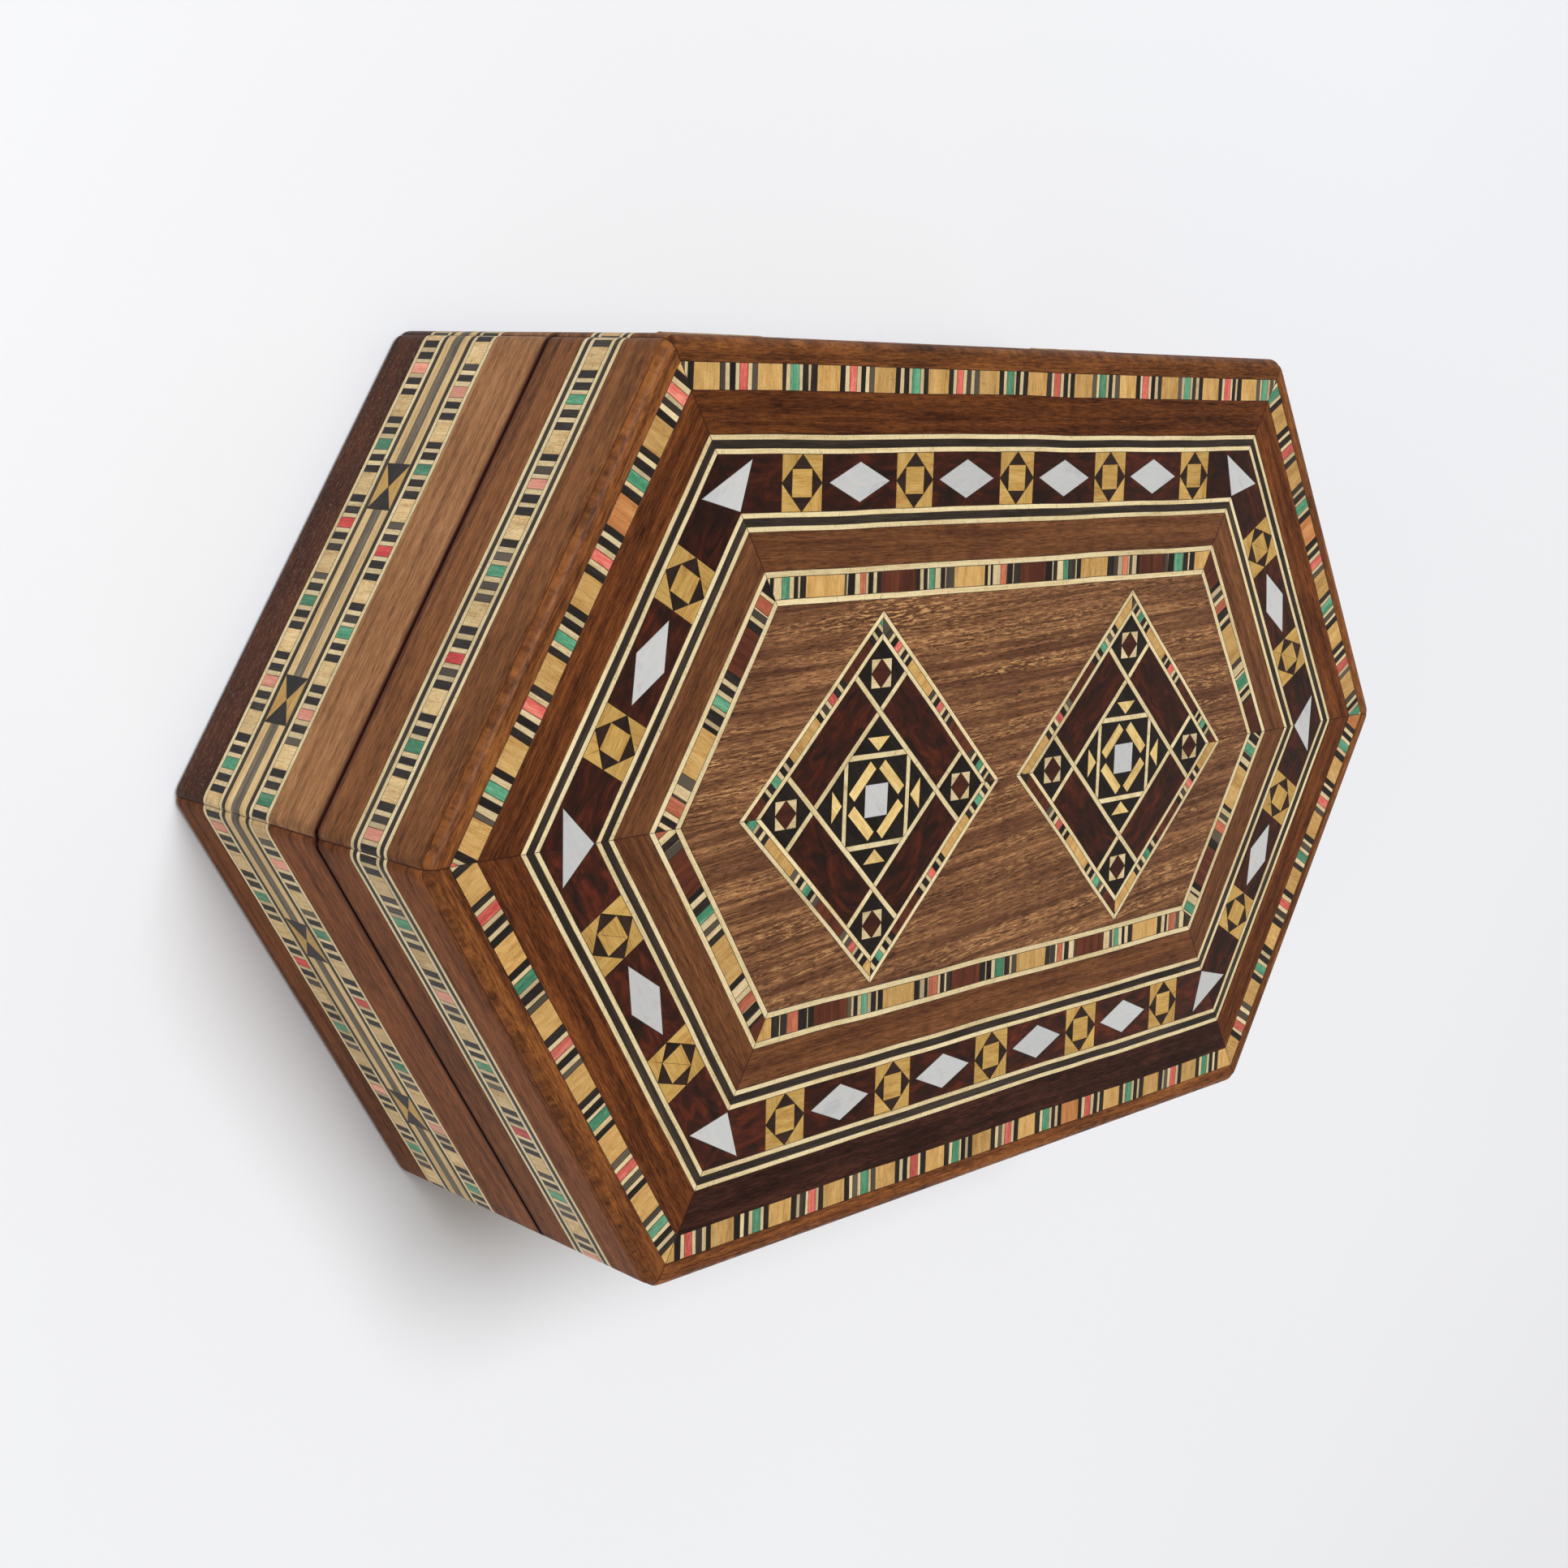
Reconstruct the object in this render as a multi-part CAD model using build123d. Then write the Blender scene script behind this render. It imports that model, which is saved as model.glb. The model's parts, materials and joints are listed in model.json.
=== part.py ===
"""Six-sided hinged wooden box covered with inlaid veneer.

Millimetres, +Z up.  The origin is the middle of the underside.  X runs along the
box from tip to tip, the hinges are on the long +Y side and the lid opens towards +Y.
Every visible face is a 1 mm skin of veneer, inlay strips and shell on a wooden core.
"""
from build123d import *
import math
import os

# ---- overall size -------------------------------------------------------------
HALF_LENGTH = 100.0         # centre to each pointed end
HALF_LONG_SIDE = 64.8       # half of a long straight side
HALF_WIDTH = 59.5           # centre to each long side
HEIGHT = 55.0
PARTING_Z = 33.0            # plane between body and lid, and the hinge axis height
PARTING_GAP = 0.6

# ---- carcass ------------------------------------------------------------------
SKIN = 1.0                  # thickness of veneer and inlay
CORE_WALL = 6.0
BOTTOM_THICKNESS = 4.0
TOP_BOARD_THICKNESS = 4.5
FLOOR_LINING = 1.5          # velvet glued on card
WALL_LINING = 1.0
LINING_SETBACK = 1.5        # bare rim left above the lining
BODY_CORNER_RADIUS = 1.5
BODY_FOOT_RADIUS = 1.0
LID_CORNER_RADIUS = 2.0
LID_EDGE_RADIUS = 1.8

# ---- side bands, each entry is the height where the band ends -------------------
BASE_BAND_TOP = 7.2
LINE = 0.7                  # one veneer line
BODY_MOSAIC = 3.1
CENTRE_YELLOW = 1.55
CENTRE_DARK = 1.8
LID_LOWER_BAND_TOP = 40.0
LID_MOSAIC = 3.2
BOWTIE_WIDTH = 6.5
BOWTIE_PITCH = 30.4

# ---- lid face rings, each entry is an inset from the outline ---------------------
EDGE_MOSAIC_INSET = 3.2
EDGE_MOSAIC_WIDTH = 3.3
OUTER_LINES_INSET = 11.8
FACE_BLACK_LINE = 1.0
STAR_BAND_WIDTH = 7.2
INNER_MOSAIC_INSET = 28.7
INNER_MOSAIC_WIDTH = 2.8
INNER_MOSAIC_LINE = 0.8
STAR_TILE = STAR_BAND_WIDTH     # square tile that fills the band
STAR_PITCH = 21.1           # between tiles along a long side
STAR_PITCH_SLANTED = 21.0
RHOMBUS_LENGTH = 11.3
RHOMBUS_WIDTH = 5.2
CORNER_PEARL_HEIGHT = 4.7
CORNER_PEARL_BASE = 9.6
CORNER_PEARL_TIP_GAP = 0.2      # from the band's inner corner

# ---- the two diamonds: squares set on their corners ------------------------------
DIAMOND_CENTRES = ((-26.4, -0.5), (28.2, -0.4))
DIAMOND_HALF = 17.95        # half of a side
DIAMOND_LINE = 0.65
DIAMOND_MOSAIC = 1.4
LATTICE_HALF = 8.1          # centre of diamond to the near side of a lattice line
LATTICE_LINE = 0.8
CORNER_TILE = 3.86
FRAME_HALF = 6.5
FRAME_LINE = 0.8
BAR_NEAR = 3.2
BAR_FAR = 4.87
BAR_HALF_LENGTH = 2.85
PEARL_SQUARE = 4.45
TRIANGLE_BASE_AT = 8.65
TRIANGLE_TIP_AT = 6.65
TRIANGLE_HALF_BASE = 2.25

# ---- hinges ---------------------------------------------------------------------
HINGE_X = (-38.0, 38.0)
HINGE_LENGTH = 18.0
AXIS_Y = 59.0               # axis just inside the back face
KNUCKLE_RADIUS = 1.1
PIN_RADIUS = 0.5
PIN_CLEARANCE = 0.04        # radial, in the lid's knuckle
KNUCKLE_GAP = 0.2
RECESS_CLEARANCE = 0.15
LEAF_THICKNESS = 0.6
LEAF_INNER_Y = 53.8
LEAF_OUTER_Y = 57.7
SCREW_Y = 55.7
SCREW_SPACING = 11.0
SCREW_HEAD_RADIUS = 1.1
SCREW_RADIUS = 0.55
SCREW_LENGTH = 5.0
SCREW_TIP_LENGTH = 1.0
SCREW_TIP_RADIUS = 0.1
SCREW_SLOT_WIDTH = 0.3
SCREW_SLOT_DEPTH = 0.25
LEAF_OVERLAP = 0.8          # a leaf ends this far short of the axis, inside its knuckles
STOP_BEVEL_DEG = 50.5       # two bevels of this angle stop the lid just past 100 degrees
STOP_BEVEL_REACH = 2.0      # past the back face

BODY_TOP = PARTING_Z - PARTING_GAP / 2
LID_BOTTOM = PARTING_Z + PARTING_GAP / 2
FACE_Z = HEIGHT - SKIN
INNER_INSET = SKIN + CORE_WALL
SLANTED_RUN = HALF_LENGTH - HALF_LONG_SIDE
SLANTED_LENGTH = math.hypot(SLANTED_RUN, HALF_WIDTH)
SIDE_NAMES = ("back", "back_right", "front_right", "front", "front_left", "back_left")
# How far the pair of bow-ties sits from the middle of its slanted side.
BOWTIE_SHIFT = {"back_right": 0.0, "front_right": 0.0, "front_left": -1.2, "back_left": -3.6}

nodes = {}


def hexagon(inset):
    """Corners of the outline moved inwards, clockwise from the back left corner."""
    width = HALF_WIDTH - inset
    reach = HALF_WIDTH * HALF_LENGTH - inset * SLANTED_LENGTH
    corner_x = (reach - SLANTED_RUN * width) / HALF_WIDTH
    tip_x = reach / HALF_WIDTH
    return [(-corner_x, width), (corner_x, width), (tip_x, 0),
            (corner_x, -width), (-corner_x, -width), (-tip_x, 0)]


def prism(points, z_low, z_high):
    """Upright solid on a polygon."""
    outline = Polyline(*[(x, y, z_low) for x, y in points], close=True)
    return extrude(make_face(outline), amount=z_high - z_low, dir=(0, 0, 1))


def block(x_low, x_high, y_low, y_high, z_low=FACE_Z, z_high=HEIGHT):
    return prism([(x_low, y_low), (x_high, y_low), (x_high, y_high), (x_low, y_high)], z_low, z_high)


def side_piece(side, inset_out, inset_in, z_low, z_high):
    """One mitred length of a band that follows the outline."""
    outer = hexagon(inset_out)
    inner = hexagon(inset_in)
    after = (side + 1) % 6
    return prism([outer[side], outer[after], inner[after], inner[side]], z_low, z_high)


def ring(inset_out, inset_in, z_low, z_high):
    """Six mitred lengths."""
    return [side_piece(side, inset_out, inset_in, z_low, z_high) for side in range(6)]


def solids_of(shapes):
    found = []
    for shape in shapes:
        found.extend(shape.solids())
    return found


def cut(shapes, tools):
    """Take every tool out of every shape and return the solids that are left."""
    tool = Compound(children=solids_of(tools))
    return solids_of([shape - tool for shape in shapes])


def trim(shapes, envelope):
    return solids_of([shape & envelope for shape in shapes])


def node(name, shapes):
    nodes[name] = solids_of(shapes)


# ---- rounded outer shapes ---------------------------------------------------------
def rounded_envelope(z_low, z_high, corner_radius, edge_radius, rounded_face):
    solid = prism(hexagon(0), z_low, z_high)
    solid = fillet(solid.edges().filter_by(Axis.Z), corner_radius)
    rim = solid.faces().sort_by(Axis.Z)[rounded_face].edges()
    return fillet(rim, edge_radius)


body_envelope = rounded_envelope(0, BODY_TOP, BODY_CORNER_RADIUS, BODY_FOOT_RADIUS, 0)
lid_envelope = rounded_envelope(LID_BOTTOM, HEIGHT, LID_CORNER_RADIUS, LID_EDGE_RADIUS, -1)


# ---- hinge spaces -----------------------------------------------------------------
def x_cylinder(radius, x_low, x_high):
    """Cylinder on the hinge axis."""
    place = Pos((x_low + x_high) / 2, AXIS_Y, PARTING_Z) * Rot(0, 90, 0)
    return place * Cylinder(radius, x_high - x_low)


def hinge_recesses():
    """Room for the knuckles, for both leaves and for the stop bevel along the back."""
    spaces = []
    for x in HINGE_X:
        low = x - HINGE_LENGTH / 2
        high = x + HINGE_LENGTH / 2
        spaces.append(x_cylinder(KNUCKLE_RADIUS + RECESS_CLEARANCE,
                                 low - RECESS_CLEARANCE, high + RECESS_CLEARANCE))
        spaces.append(block(low, high, LEAF_INNER_Y, AXIS_Y,
                            BODY_TOP - LEAF_THICKNESS, LID_BOTTOM + LEAF_THICKNESS))
    rise = STOP_BEVEL_REACH * math.tan(math.radians(STOP_BEVEL_DEG))
    outside = AXIS_Y + STOP_BEVEL_REACH
    profile = Polyline((0, AXIS_Y, PARTING_Z), (0, outside, PARTING_Z + rise),
                       (0, outside, PARTING_Z - rise), close=True)
    bevel = extrude(make_face(profile), amount=HALF_LENGTH, dir=(1, 0, 0), both=True)
    return spaces + [bevel]


def screw(x, direction):
    """Countersunk screw whose head is flush with a leaf; direction is -1 down, +1 up."""
    face = BODY_TOP if direction < 0 else LID_BOTTOM
    head_height = LEAF_THICKNESS
    hanging = (Align.CENTER, Align.CENTER, Align.MAX)
    shank_length = SCREW_LENGTH - head_height - SCREW_TIP_LENGTH
    head = Cone(SCREW_RADIUS, SCREW_HEAD_RADIUS, head_height, align=hanging)
    shank = Pos(0, 0, -head_height) * Cylinder(SCREW_RADIUS, shank_length, align=hanging)
    tip = Cone(SCREW_TIP_RADIUS, SCREW_RADIUS, SCREW_TIP_LENGTH, align=hanging)
    tip = Pos(0, 0, SCREW_TIP_LENGTH - SCREW_LENGTH) * tip
    slot = Box(3 * SCREW_HEAD_RADIUS, SCREW_SLOT_WIDTH, 2 * SCREW_SLOT_DEPTH)
    turn = Rot(180, 0, 0) if direction > 0 else Rot(0, 0, 0)
    place = Pos(x, SCREW_Y, face) * turn
    return place * (head + shank + tip - slot), place * (head + shank + tip)


def screw_positions():
    return [x + offset for x in HINGE_X for offset in (-SCREW_SPACING / 2, SCREW_SPACING / 2)]


body_screws = [screw(x, -1) for x in screw_positions()]
lid_screws = [screw(x, 1) for x in screw_positions()]
screw_holes = [full for _, full in body_screws + lid_screws]


def hinge_leaf(x, face_z, thickness_z, knuckle_spans, bore_radius):
    """A plate with its own knuckles; face_z is the face at the parting plane."""
    z_low = min(face_z, thickness_z)
    z_high = max(face_z, thickness_z)
    leaf = block(x - HINGE_LENGTH / 2, x + HINGE_LENGTH / 2, LEAF_INNER_Y, LEAF_OUTER_Y, z_low, z_high)
    for low, high in knuckle_spans:
        leaf += block(x + low, x + high, LEAF_INNER_Y, AXIS_Y - LEAF_OVERLAP, z_low, z_high)
        leaf += x_cylinder(KNUCKLE_RADIUS, x + low, x + high)
    leaf -= x_cylinder(bore_radius, x - HINGE_LENGTH, x + HINGE_LENGTH)
    return leaf


def add_hinges():
    half = HINGE_LENGTH / 2
    third = HINGE_LENGTH / 6
    outer_spans = ((-half, -third - KNUCKLE_GAP / 2), (third + KNUCKLE_GAP / 2, half))
    middle_span = ((-third + KNUCKLE_GAP / 2, third - KNUCKLE_GAP / 2),)
    body_leaves = []
    lid_leaves = []
    pins = []
    for x in HINGE_X:
        body_leaves.append(hinge_leaf(x, BODY_TOP, BODY_TOP - LEAF_THICKNESS, outer_spans, PIN_RADIUS))
        lid_leaves.append(hinge_leaf(x, LID_BOTTOM, LID_BOTTOM + LEAF_THICKNESS, middle_span,
                                     PIN_RADIUS + PIN_CLEARANCE))
        pins.append(x_cylinder(PIN_RADIUS, x - half, x + half))
    node("body_hinge_leaves", cut(body_leaves, screw_holes))
    node("lid_hinge_leaves", cut(lid_leaves, screw_holes))
    node("hinge_pins", pins)
    node("body_hinge_screws", [slotted for slotted, _ in body_screws])
    node("lid_hinge_screws", [slotted for slotted, _ in lid_screws])


hinge_spaces = hinge_recesses()


# ---- carcass ----------------------------------------------------------------------
def add_carcass():
    node("body_bottom_board", [prism(hexagon(SKIN), 0, BOTTOM_THICKNESS)])
    node("lid_top_board", [prism(hexagon(SKIN), FACE_Z - TOP_BOARD_THICKNESS, FACE_Z)])
    for side, name in enumerate(SIDE_NAMES):
        wall = side_piece(side, SKIN, INNER_INSET, BOTTOM_THICKNESS, BODY_TOP)
        rim = side_piece(side, SKIN, INNER_INSET, LID_BOTTOM, FACE_Z - TOP_BOARD_THICKNESS)
        tools = hinge_spaces + screw_holes if name == "back" else []
        node(f"body_{name}_wall", cut([wall], tools) if tools else [wall])
        node(f"lid_{name}_rim", cut([rim], tools) if tools else [rim])


def add_linings():
    floor_top = BOTTOM_THICKNESS + FLOOR_LINING
    ceiling = FACE_Z - TOP_BOARD_THICKNESS
    outer = hexagon(INNER_INSET)
    inner = hexagon(INNER_INSET + WALL_LINING)
    node("body_floor_lining", [prism(outer, BOTTOM_THICKNESS, floor_top)])
    node("lid_ceiling_lining", [prism(outer, ceiling - FLOOR_LINING, ceiling)])
    for name, low, high in (("body_wall_lining", floor_top, BODY_TOP - LINING_SETBACK),
                            ("lid_wall_lining", LID_BOTTOM + LINING_SETBACK, ceiling - FLOOR_LINING)):
        node(name, [prism(outer, low, high) - prism(inner, low, high)])


# ---- side skins -------------------------------------------------------------------
def side_skin(z_low, z_high, envelope):
    return trim(ring(0, SKIN, z_low, z_high), envelope)


def slice_along(side, start, end, z_low, z_high):
    """Part of a side's skin between two distances from its first corner."""
    corners = hexagon(0)
    first = Vector(*corners[side], 0)
    last = Vector(*corners[(side + 1) % 6], 0)
    along = (last - first).normalized()
    inward = Vector(along.Y, -along.X, 0)
    a = first + along * start - inward * 2 * SKIN
    b = first + along * end - inward * 2 * SKIN
    c = b + inward * 4 * SKIN
    d = a + inward * 4 * SKIN
    window = prism([(p.X, p.Y) for p in (a, b, c, d)], z_low, z_high)
    return window & side_piece(side, 0, SKIN, z_low, z_high) & body_envelope


def bowtie_places(side):
    """Distances of the bow-tie centres from the first corner of a side."""
    name = SIDE_NAMES[side]
    if name in BOWTIE_SHIFT:
        middle = SLANTED_LENGTH / 2 + BOWTIE_SHIFT[name]
        return [middle - BOWTIE_PITCH / 2, middle + BOWTIE_PITCH / 2]
    return [HALF_LONG_SIDE + (k - 1.5) * BOWTIE_PITCH for k in range(4)]


def add_body_skin():
    z = BASE_BAND_TOP
    levels = [z]
    for step in (LINE, BODY_MOSAIC, LINE, LINE, CENTRE_YELLOW, CENTRE_DARK, CENTRE_YELLOW,
                 LINE, LINE, BODY_MOSAIC, LINE):
        z += step
        levels.append(z)
    node("body_base_band", side_skin(0, BASE_BAND_TOP, body_envelope))
    node("body_top_band", cut(side_skin(levels[11], BODY_TOP, body_envelope), hinge_spaces))
    cream = []
    for k in (0, 2, 8, 10):
        cream += side_skin(levels[k], levels[k + 1], body_envelope)
    black = []
    for k in (3, 7):
        black += side_skin(levels[k], levels[k + 1], body_envelope)
    node("body_cream_lines", cream)
    node("body_black_lines", black)
    node("body_lower_mosaic", side_skin(levels[1], levels[2], body_envelope))
    node("body_upper_mosaic", side_skin(levels[9], levels[10], body_envelope))
    yellow = []
    dark = []
    bowties = []
    for side in range(6):
        length = 2 * HALF_LONG_SIDE if side in (0, 3) else SLANTED_LENGTH
        start = 0
        for centre in bowtie_places(side):
            end = centre - BOWTIE_WIDTH / 2
            yellow.append(slice_along(side, start, end, levels[4], levels[5]))
            dark.append(slice_along(side, start, end, levels[5], levels[6]))
            yellow.append(slice_along(side, start, end, levels[6], levels[7]))
            start = centre + BOWTIE_WIDTH / 2
            bowties.append(slice_along(side, end, start, levels[4], levels[7]))
        yellow.append(slice_along(side, start, length, levels[4], levels[5]))
        dark.append(slice_along(side, start, length, levels[5], levels[6]))
        yellow.append(slice_along(side, start, length, levels[6], levels[7]))
    node("body_yellow_strips", yellow)
    node("body_dark_strips", dark)
    node("body_bowtie_tiles", bowties)


def add_lid_side_skin():
    z = LID_LOWER_BAND_TOP
    levels = [z]
    for step in (LINE, LINE, LINE, LID_MOSAIC, LINE, LINE, LINE):
        z += step
        levels.append(z)
    node("lid_lower_band", cut(side_skin(LID_BOTTOM, levels[0], lid_envelope), hinge_spaces))
    node("lid_upper_band", side_skin(levels[7], FACE_Z, lid_envelope))
    cream = []
    for k in (0, 2, 4, 6):
        cream += side_skin(levels[k], levels[k + 1], lid_envelope)
    black = []
    for k in (1, 5):
        black += side_skin(levels[k], levels[k + 1], lid_envelope)
    node("lid_side_cream_lines", cream)
    node("lid_side_black_lines", black)
    node("lid_side_mosaic", side_skin(levels[3], levels[4], lid_envelope))


# ---- lid face ---------------------------------------------------------------------
def face_ring(inset_out, inset_in):
    return ring(inset_out, inset_in, FACE_Z, HEIGHT)


def band_frame(side, inset):
    """Middle point and unit direction of a band's centre line on one side."""
    corners = hexagon(inset)
    first = Vector(*corners[side], 0)
    last = Vector(*corners[(side + 1) % 6], 0)
    return (first + last) * 0.5, (last - first).normalized()


def polygon_on_band(side, inset, offset, points):
    """Prism from points given along and across a band, centred at an offset along it."""
    middle, along = band_frame(side, inset)
    across = Vector(-along.Y, along.X, 0)
    placed = [middle + along * (offset + u) + across * v for u, v in points]
    return prism([(p.X, p.Y) for p in placed], FACE_Z, HEIGHT)


def add_star_band(outer_inset):
    inner_inset = outer_inset + STAR_BAND_WIDTH
    middle_inset = (outer_inset + inner_inset) / 2
    half = STAR_TILE / 2
    square = [(-half, -half), (half, -half), (half, half), (-half, half)]
    rhombus = [(-RHOMBUS_LENGTH / 2, 0), (0, -RHOMBUS_WIDTH / 2),
               (RHOMBUS_LENGTH / 2, 0), (0, RHOMBUS_WIDTH / 2)]
    tiles = []
    rhombi = []
    for side in range(6):
        if side in (0, 3):
            tile_places = [k * STAR_PITCH for k in range(-2, 3)]
            pearl_places = [(k + 0.5) * STAR_PITCH for k in range(-2, 2)]
        else:
            tile_places = [-STAR_PITCH_SLANTED / 2, STAR_PITCH_SLANTED / 2]
            pearl_places = [0]
        tiles += [polygon_on_band(side, middle_inset, place, square) for place in tile_places]
        rhombi += [polygon_on_band(side, middle_inset, place, rhombus) for place in pearl_places]
    triangles = []
    for inner, outer in zip(hexagon(inner_inset), hexagon(outer_inset)):
        tip = Vector(*inner, 0)
        out = (Vector(*outer, 0) - tip).normalized()
        across = Vector(-out.Y, out.X, 0) * (CORNER_PEARL_BASE / 2)
        point = tip + out * CORNER_PEARL_TIP_GAP
        base = point + out * CORNER_PEARL_HEIGHT
        corners = [point, base + across, base - across]
        triangles.append(prism([(p.X, p.Y) for p in corners], FACE_Z, HEIGHT))
    ground = cut(face_ring(outer_inset, inner_inset), tiles + rhombi + triangles)
    node("star_band_ground", ground)
    node("star_tiles", tiles)
    node("pearl_rhombi", rhombi)
    node("pearl_triangles", triangles)


def square_ring(outer, inner):
    """Four mitred lengths of a square border, in the diamond's own axes."""
    pieces = []
    for turn in range(4):
        piece = prism([(-outer, outer), (outer, outer), (inner, inner), (-inner, inner)], FACE_Z, HEIGHT)
        pieces.append(Rot(0, 0, 90 * turn) * piece)
    return pieces


def four_turns(shape):
    return [Rot(0, 0, 90 * turn) * shape for turn in range(4)]


def diamond_pieces():
    """Pieces of one diamond about its centre, with its sides parallel to the axes."""
    mosaic_out = DIAMOND_HALF - DIAMOND_LINE
    mosaic_in = mosaic_out - DIAMOND_MOSAIC
    inside = mosaic_in - DIAMOND_LINE
    near = LATTICE_HALF
    far = LATTICE_HALF + LATTICE_LINE
    upright = Rot(0, 0, 45)
    pieces = {
        "diamond_border_lines": square_ring(DIAMOND_HALF, mosaic_out) + square_ring(mosaic_in, inside),
        "diamond_mosaic": square_ring(mosaic_out, mosaic_in),
    }
    lattice = [block(near, far, -inside, inside), block(-far, -near, -inside, inside)]
    for low, high in ((near, far), (-far, -near)):
        lattice += [block(far, inside, low, high), block(-near, near, low, high),
                    block(-inside, -far, low, high)]
    centre = block(-near, near, -near, near)
    tile = upright * block(-CORNER_TILE / 2, CORNER_TILE / 2, -CORNER_TILE / 2, CORNER_TILE / 2)
    tile_at = (far + inside) / 2
    corner_tiles = four_turns(Pos(tile_at, tile_at, 0) * tile)
    corner_squares = four_turns(block(far, inside, far, inside))
    frame_in = FRAME_HALF - FRAME_LINE
    frame = []
    for side in (-1, 1):
        frame.append(block(-FRAME_HALF, FRAME_HALF, *sorted((side * frame_in, side * FRAME_HALF))))
        frame.append(block(*sorted((side * frame_in, side * FRAME_HALF)), -frame_in, frame_in))
    frame = trim([upright * piece for piece in frame], centre)
    triangle = prism([(-TRIANGLE_HALF_BASE, TRIANGLE_BASE_AT), (TRIANGLE_HALF_BASE, TRIANGLE_BASE_AT),
                      (0, TRIANGLE_TIP_AT)], FACE_Z, HEIGHT)
    triangles = [upright * piece for piece in four_turns(triangle)]
    bars = four_turns(block(BAR_NEAR, BAR_FAR, -BAR_HALF_LENGTH, BAR_HALF_LENGTH))
    half_pearl = PEARL_SQUARE / 2
    pearl = upright * block(-half_pearl, half_pearl, -half_pearl, half_pearl)
    pieces["diamond_lattice_lines"] = lattice + frame
    pieces["diamond_corner_squares"] = cut(corner_squares, corner_tiles)
    pieces["diamond_corner_tiles"] = corner_tiles
    pieces["diamond_panels"] = four_turns(block(far, inside, -near, near))
    pieces["diamond_centre_ground"] = cut([centre], frame + triangles + bars + [pearl])
    pieces["diamond_triangles"] = triangles
    pieces["diamond_bars"] = bars
    pieces["pearl_squares"] = [pearl]
    return pieces


def add_diamonds():
    collected = {}
    for x, y in DIAMOND_CENTRES:
        place = Pos(x, y, 0) * Rot(0, 0, 45)
        for name, shapes in diamond_pieces().items():
            collected.setdefault(name, []).extend(place * shape for shape in shapes)
    for name, shapes in collected.items():
        node(name, shapes)
    outline = block(-DIAMOND_HALF, DIAMOND_HALF, -DIAMOND_HALF, DIAMOND_HALF)
    return [Pos(x, y, 0) * Rot(0, 0, 45) * outline for x, y in DIAMOND_CENTRES]


def add_lid_face():
    mosaic_in = EDGE_MOSAIC_INSET + EDGE_MOSAIC_WIDTH
    border = ring(0, EDGE_MOSAIC_INSET, FACE_Z, HEIGHT)
    node("lid_border_band", trim(border, lid_envelope))
    node("lid_edge_mosaic", face_ring(EDGE_MOSAIC_INSET, mosaic_in))
    node("lid_outer_band", face_ring(mosaic_in, OUTER_LINES_INSET))
    cream = []
    black = []
    star_band_inset = OUTER_LINES_INSET + 2 * LINE + FACE_BLACK_LINE
    inner_lines_inset = star_band_inset + STAR_BAND_WIDTH
    for inset in (OUTER_LINES_INSET, inner_lines_inset):
        black_inset = inset + LINE
        cream += face_ring(inset, black_inset)
        black += face_ring(black_inset, black_inset + FACE_BLACK_LINE)
        cream += face_ring(black_inset + FACE_BLACK_LINE, black_inset + FACE_BLACK_LINE + LINE)
    add_star_band(star_band_inset)
    inner_band_inset = inner_lines_inset + 2 * LINE + FACE_BLACK_LINE
    node("lid_inner_band", face_ring(inner_band_inset, INNER_MOSAIC_INSET))
    strip_out = INNER_MOSAIC_INSET + INNER_MOSAIC_LINE
    strip_in = strip_out + INNER_MOSAIC_WIDTH
    field_inset = strip_in + INNER_MOSAIC_LINE
    cream += face_ring(INNER_MOSAIC_INSET, strip_out) + face_ring(strip_in, field_inset)
    node("lid_face_cream_lines", cream)
    node("lid_face_black_lines", black)
    node("lid_inner_mosaic", face_ring(strip_out, strip_in))
    corners = hexagon(field_inset)
    diamonds = add_diamonds()
    back_half = prism([corners[5], corners[0], corners[1], corners[2]], FACE_Z, HEIGHT)
    front_half = prism([corners[2], corners[3], corners[4], corners[5]], FACE_Z, HEIGHT)
    node("field_back_panel", cut([back_half], diamonds))
    node("field_front_panel", cut([front_half], diamonds))


add_carcass()
add_linings()
add_body_skin()
add_lid_side_skin()
add_lid_face()
add_hinges()

os.makedirs("parts", exist_ok=True)
for name, solids in nodes.items():
    shape = solids[0] if len(solids) == 1 else Compound(children=solids)
    export_step(shape, f"parts/{name}.step")
print(len(nodes), "nodes,", sum(len(solids) for solids in nodes.values()), "solids")
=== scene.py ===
"""Looks of the inlaid six-sided box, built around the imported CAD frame.

Every solid of the inlaid skin is copied from its CAD node, divided into the blocks that it is
laminated from, laid with the slight unevenness of handwork and given its own grain.
Lengths in this script are millimetres until a mesh is finished; the scene is in metres.
"""

import json
import math
import random
from collections import Counter, namedtuple

import bmesh
import bpy
from mathutils import Matrix, Vector, noise

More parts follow.
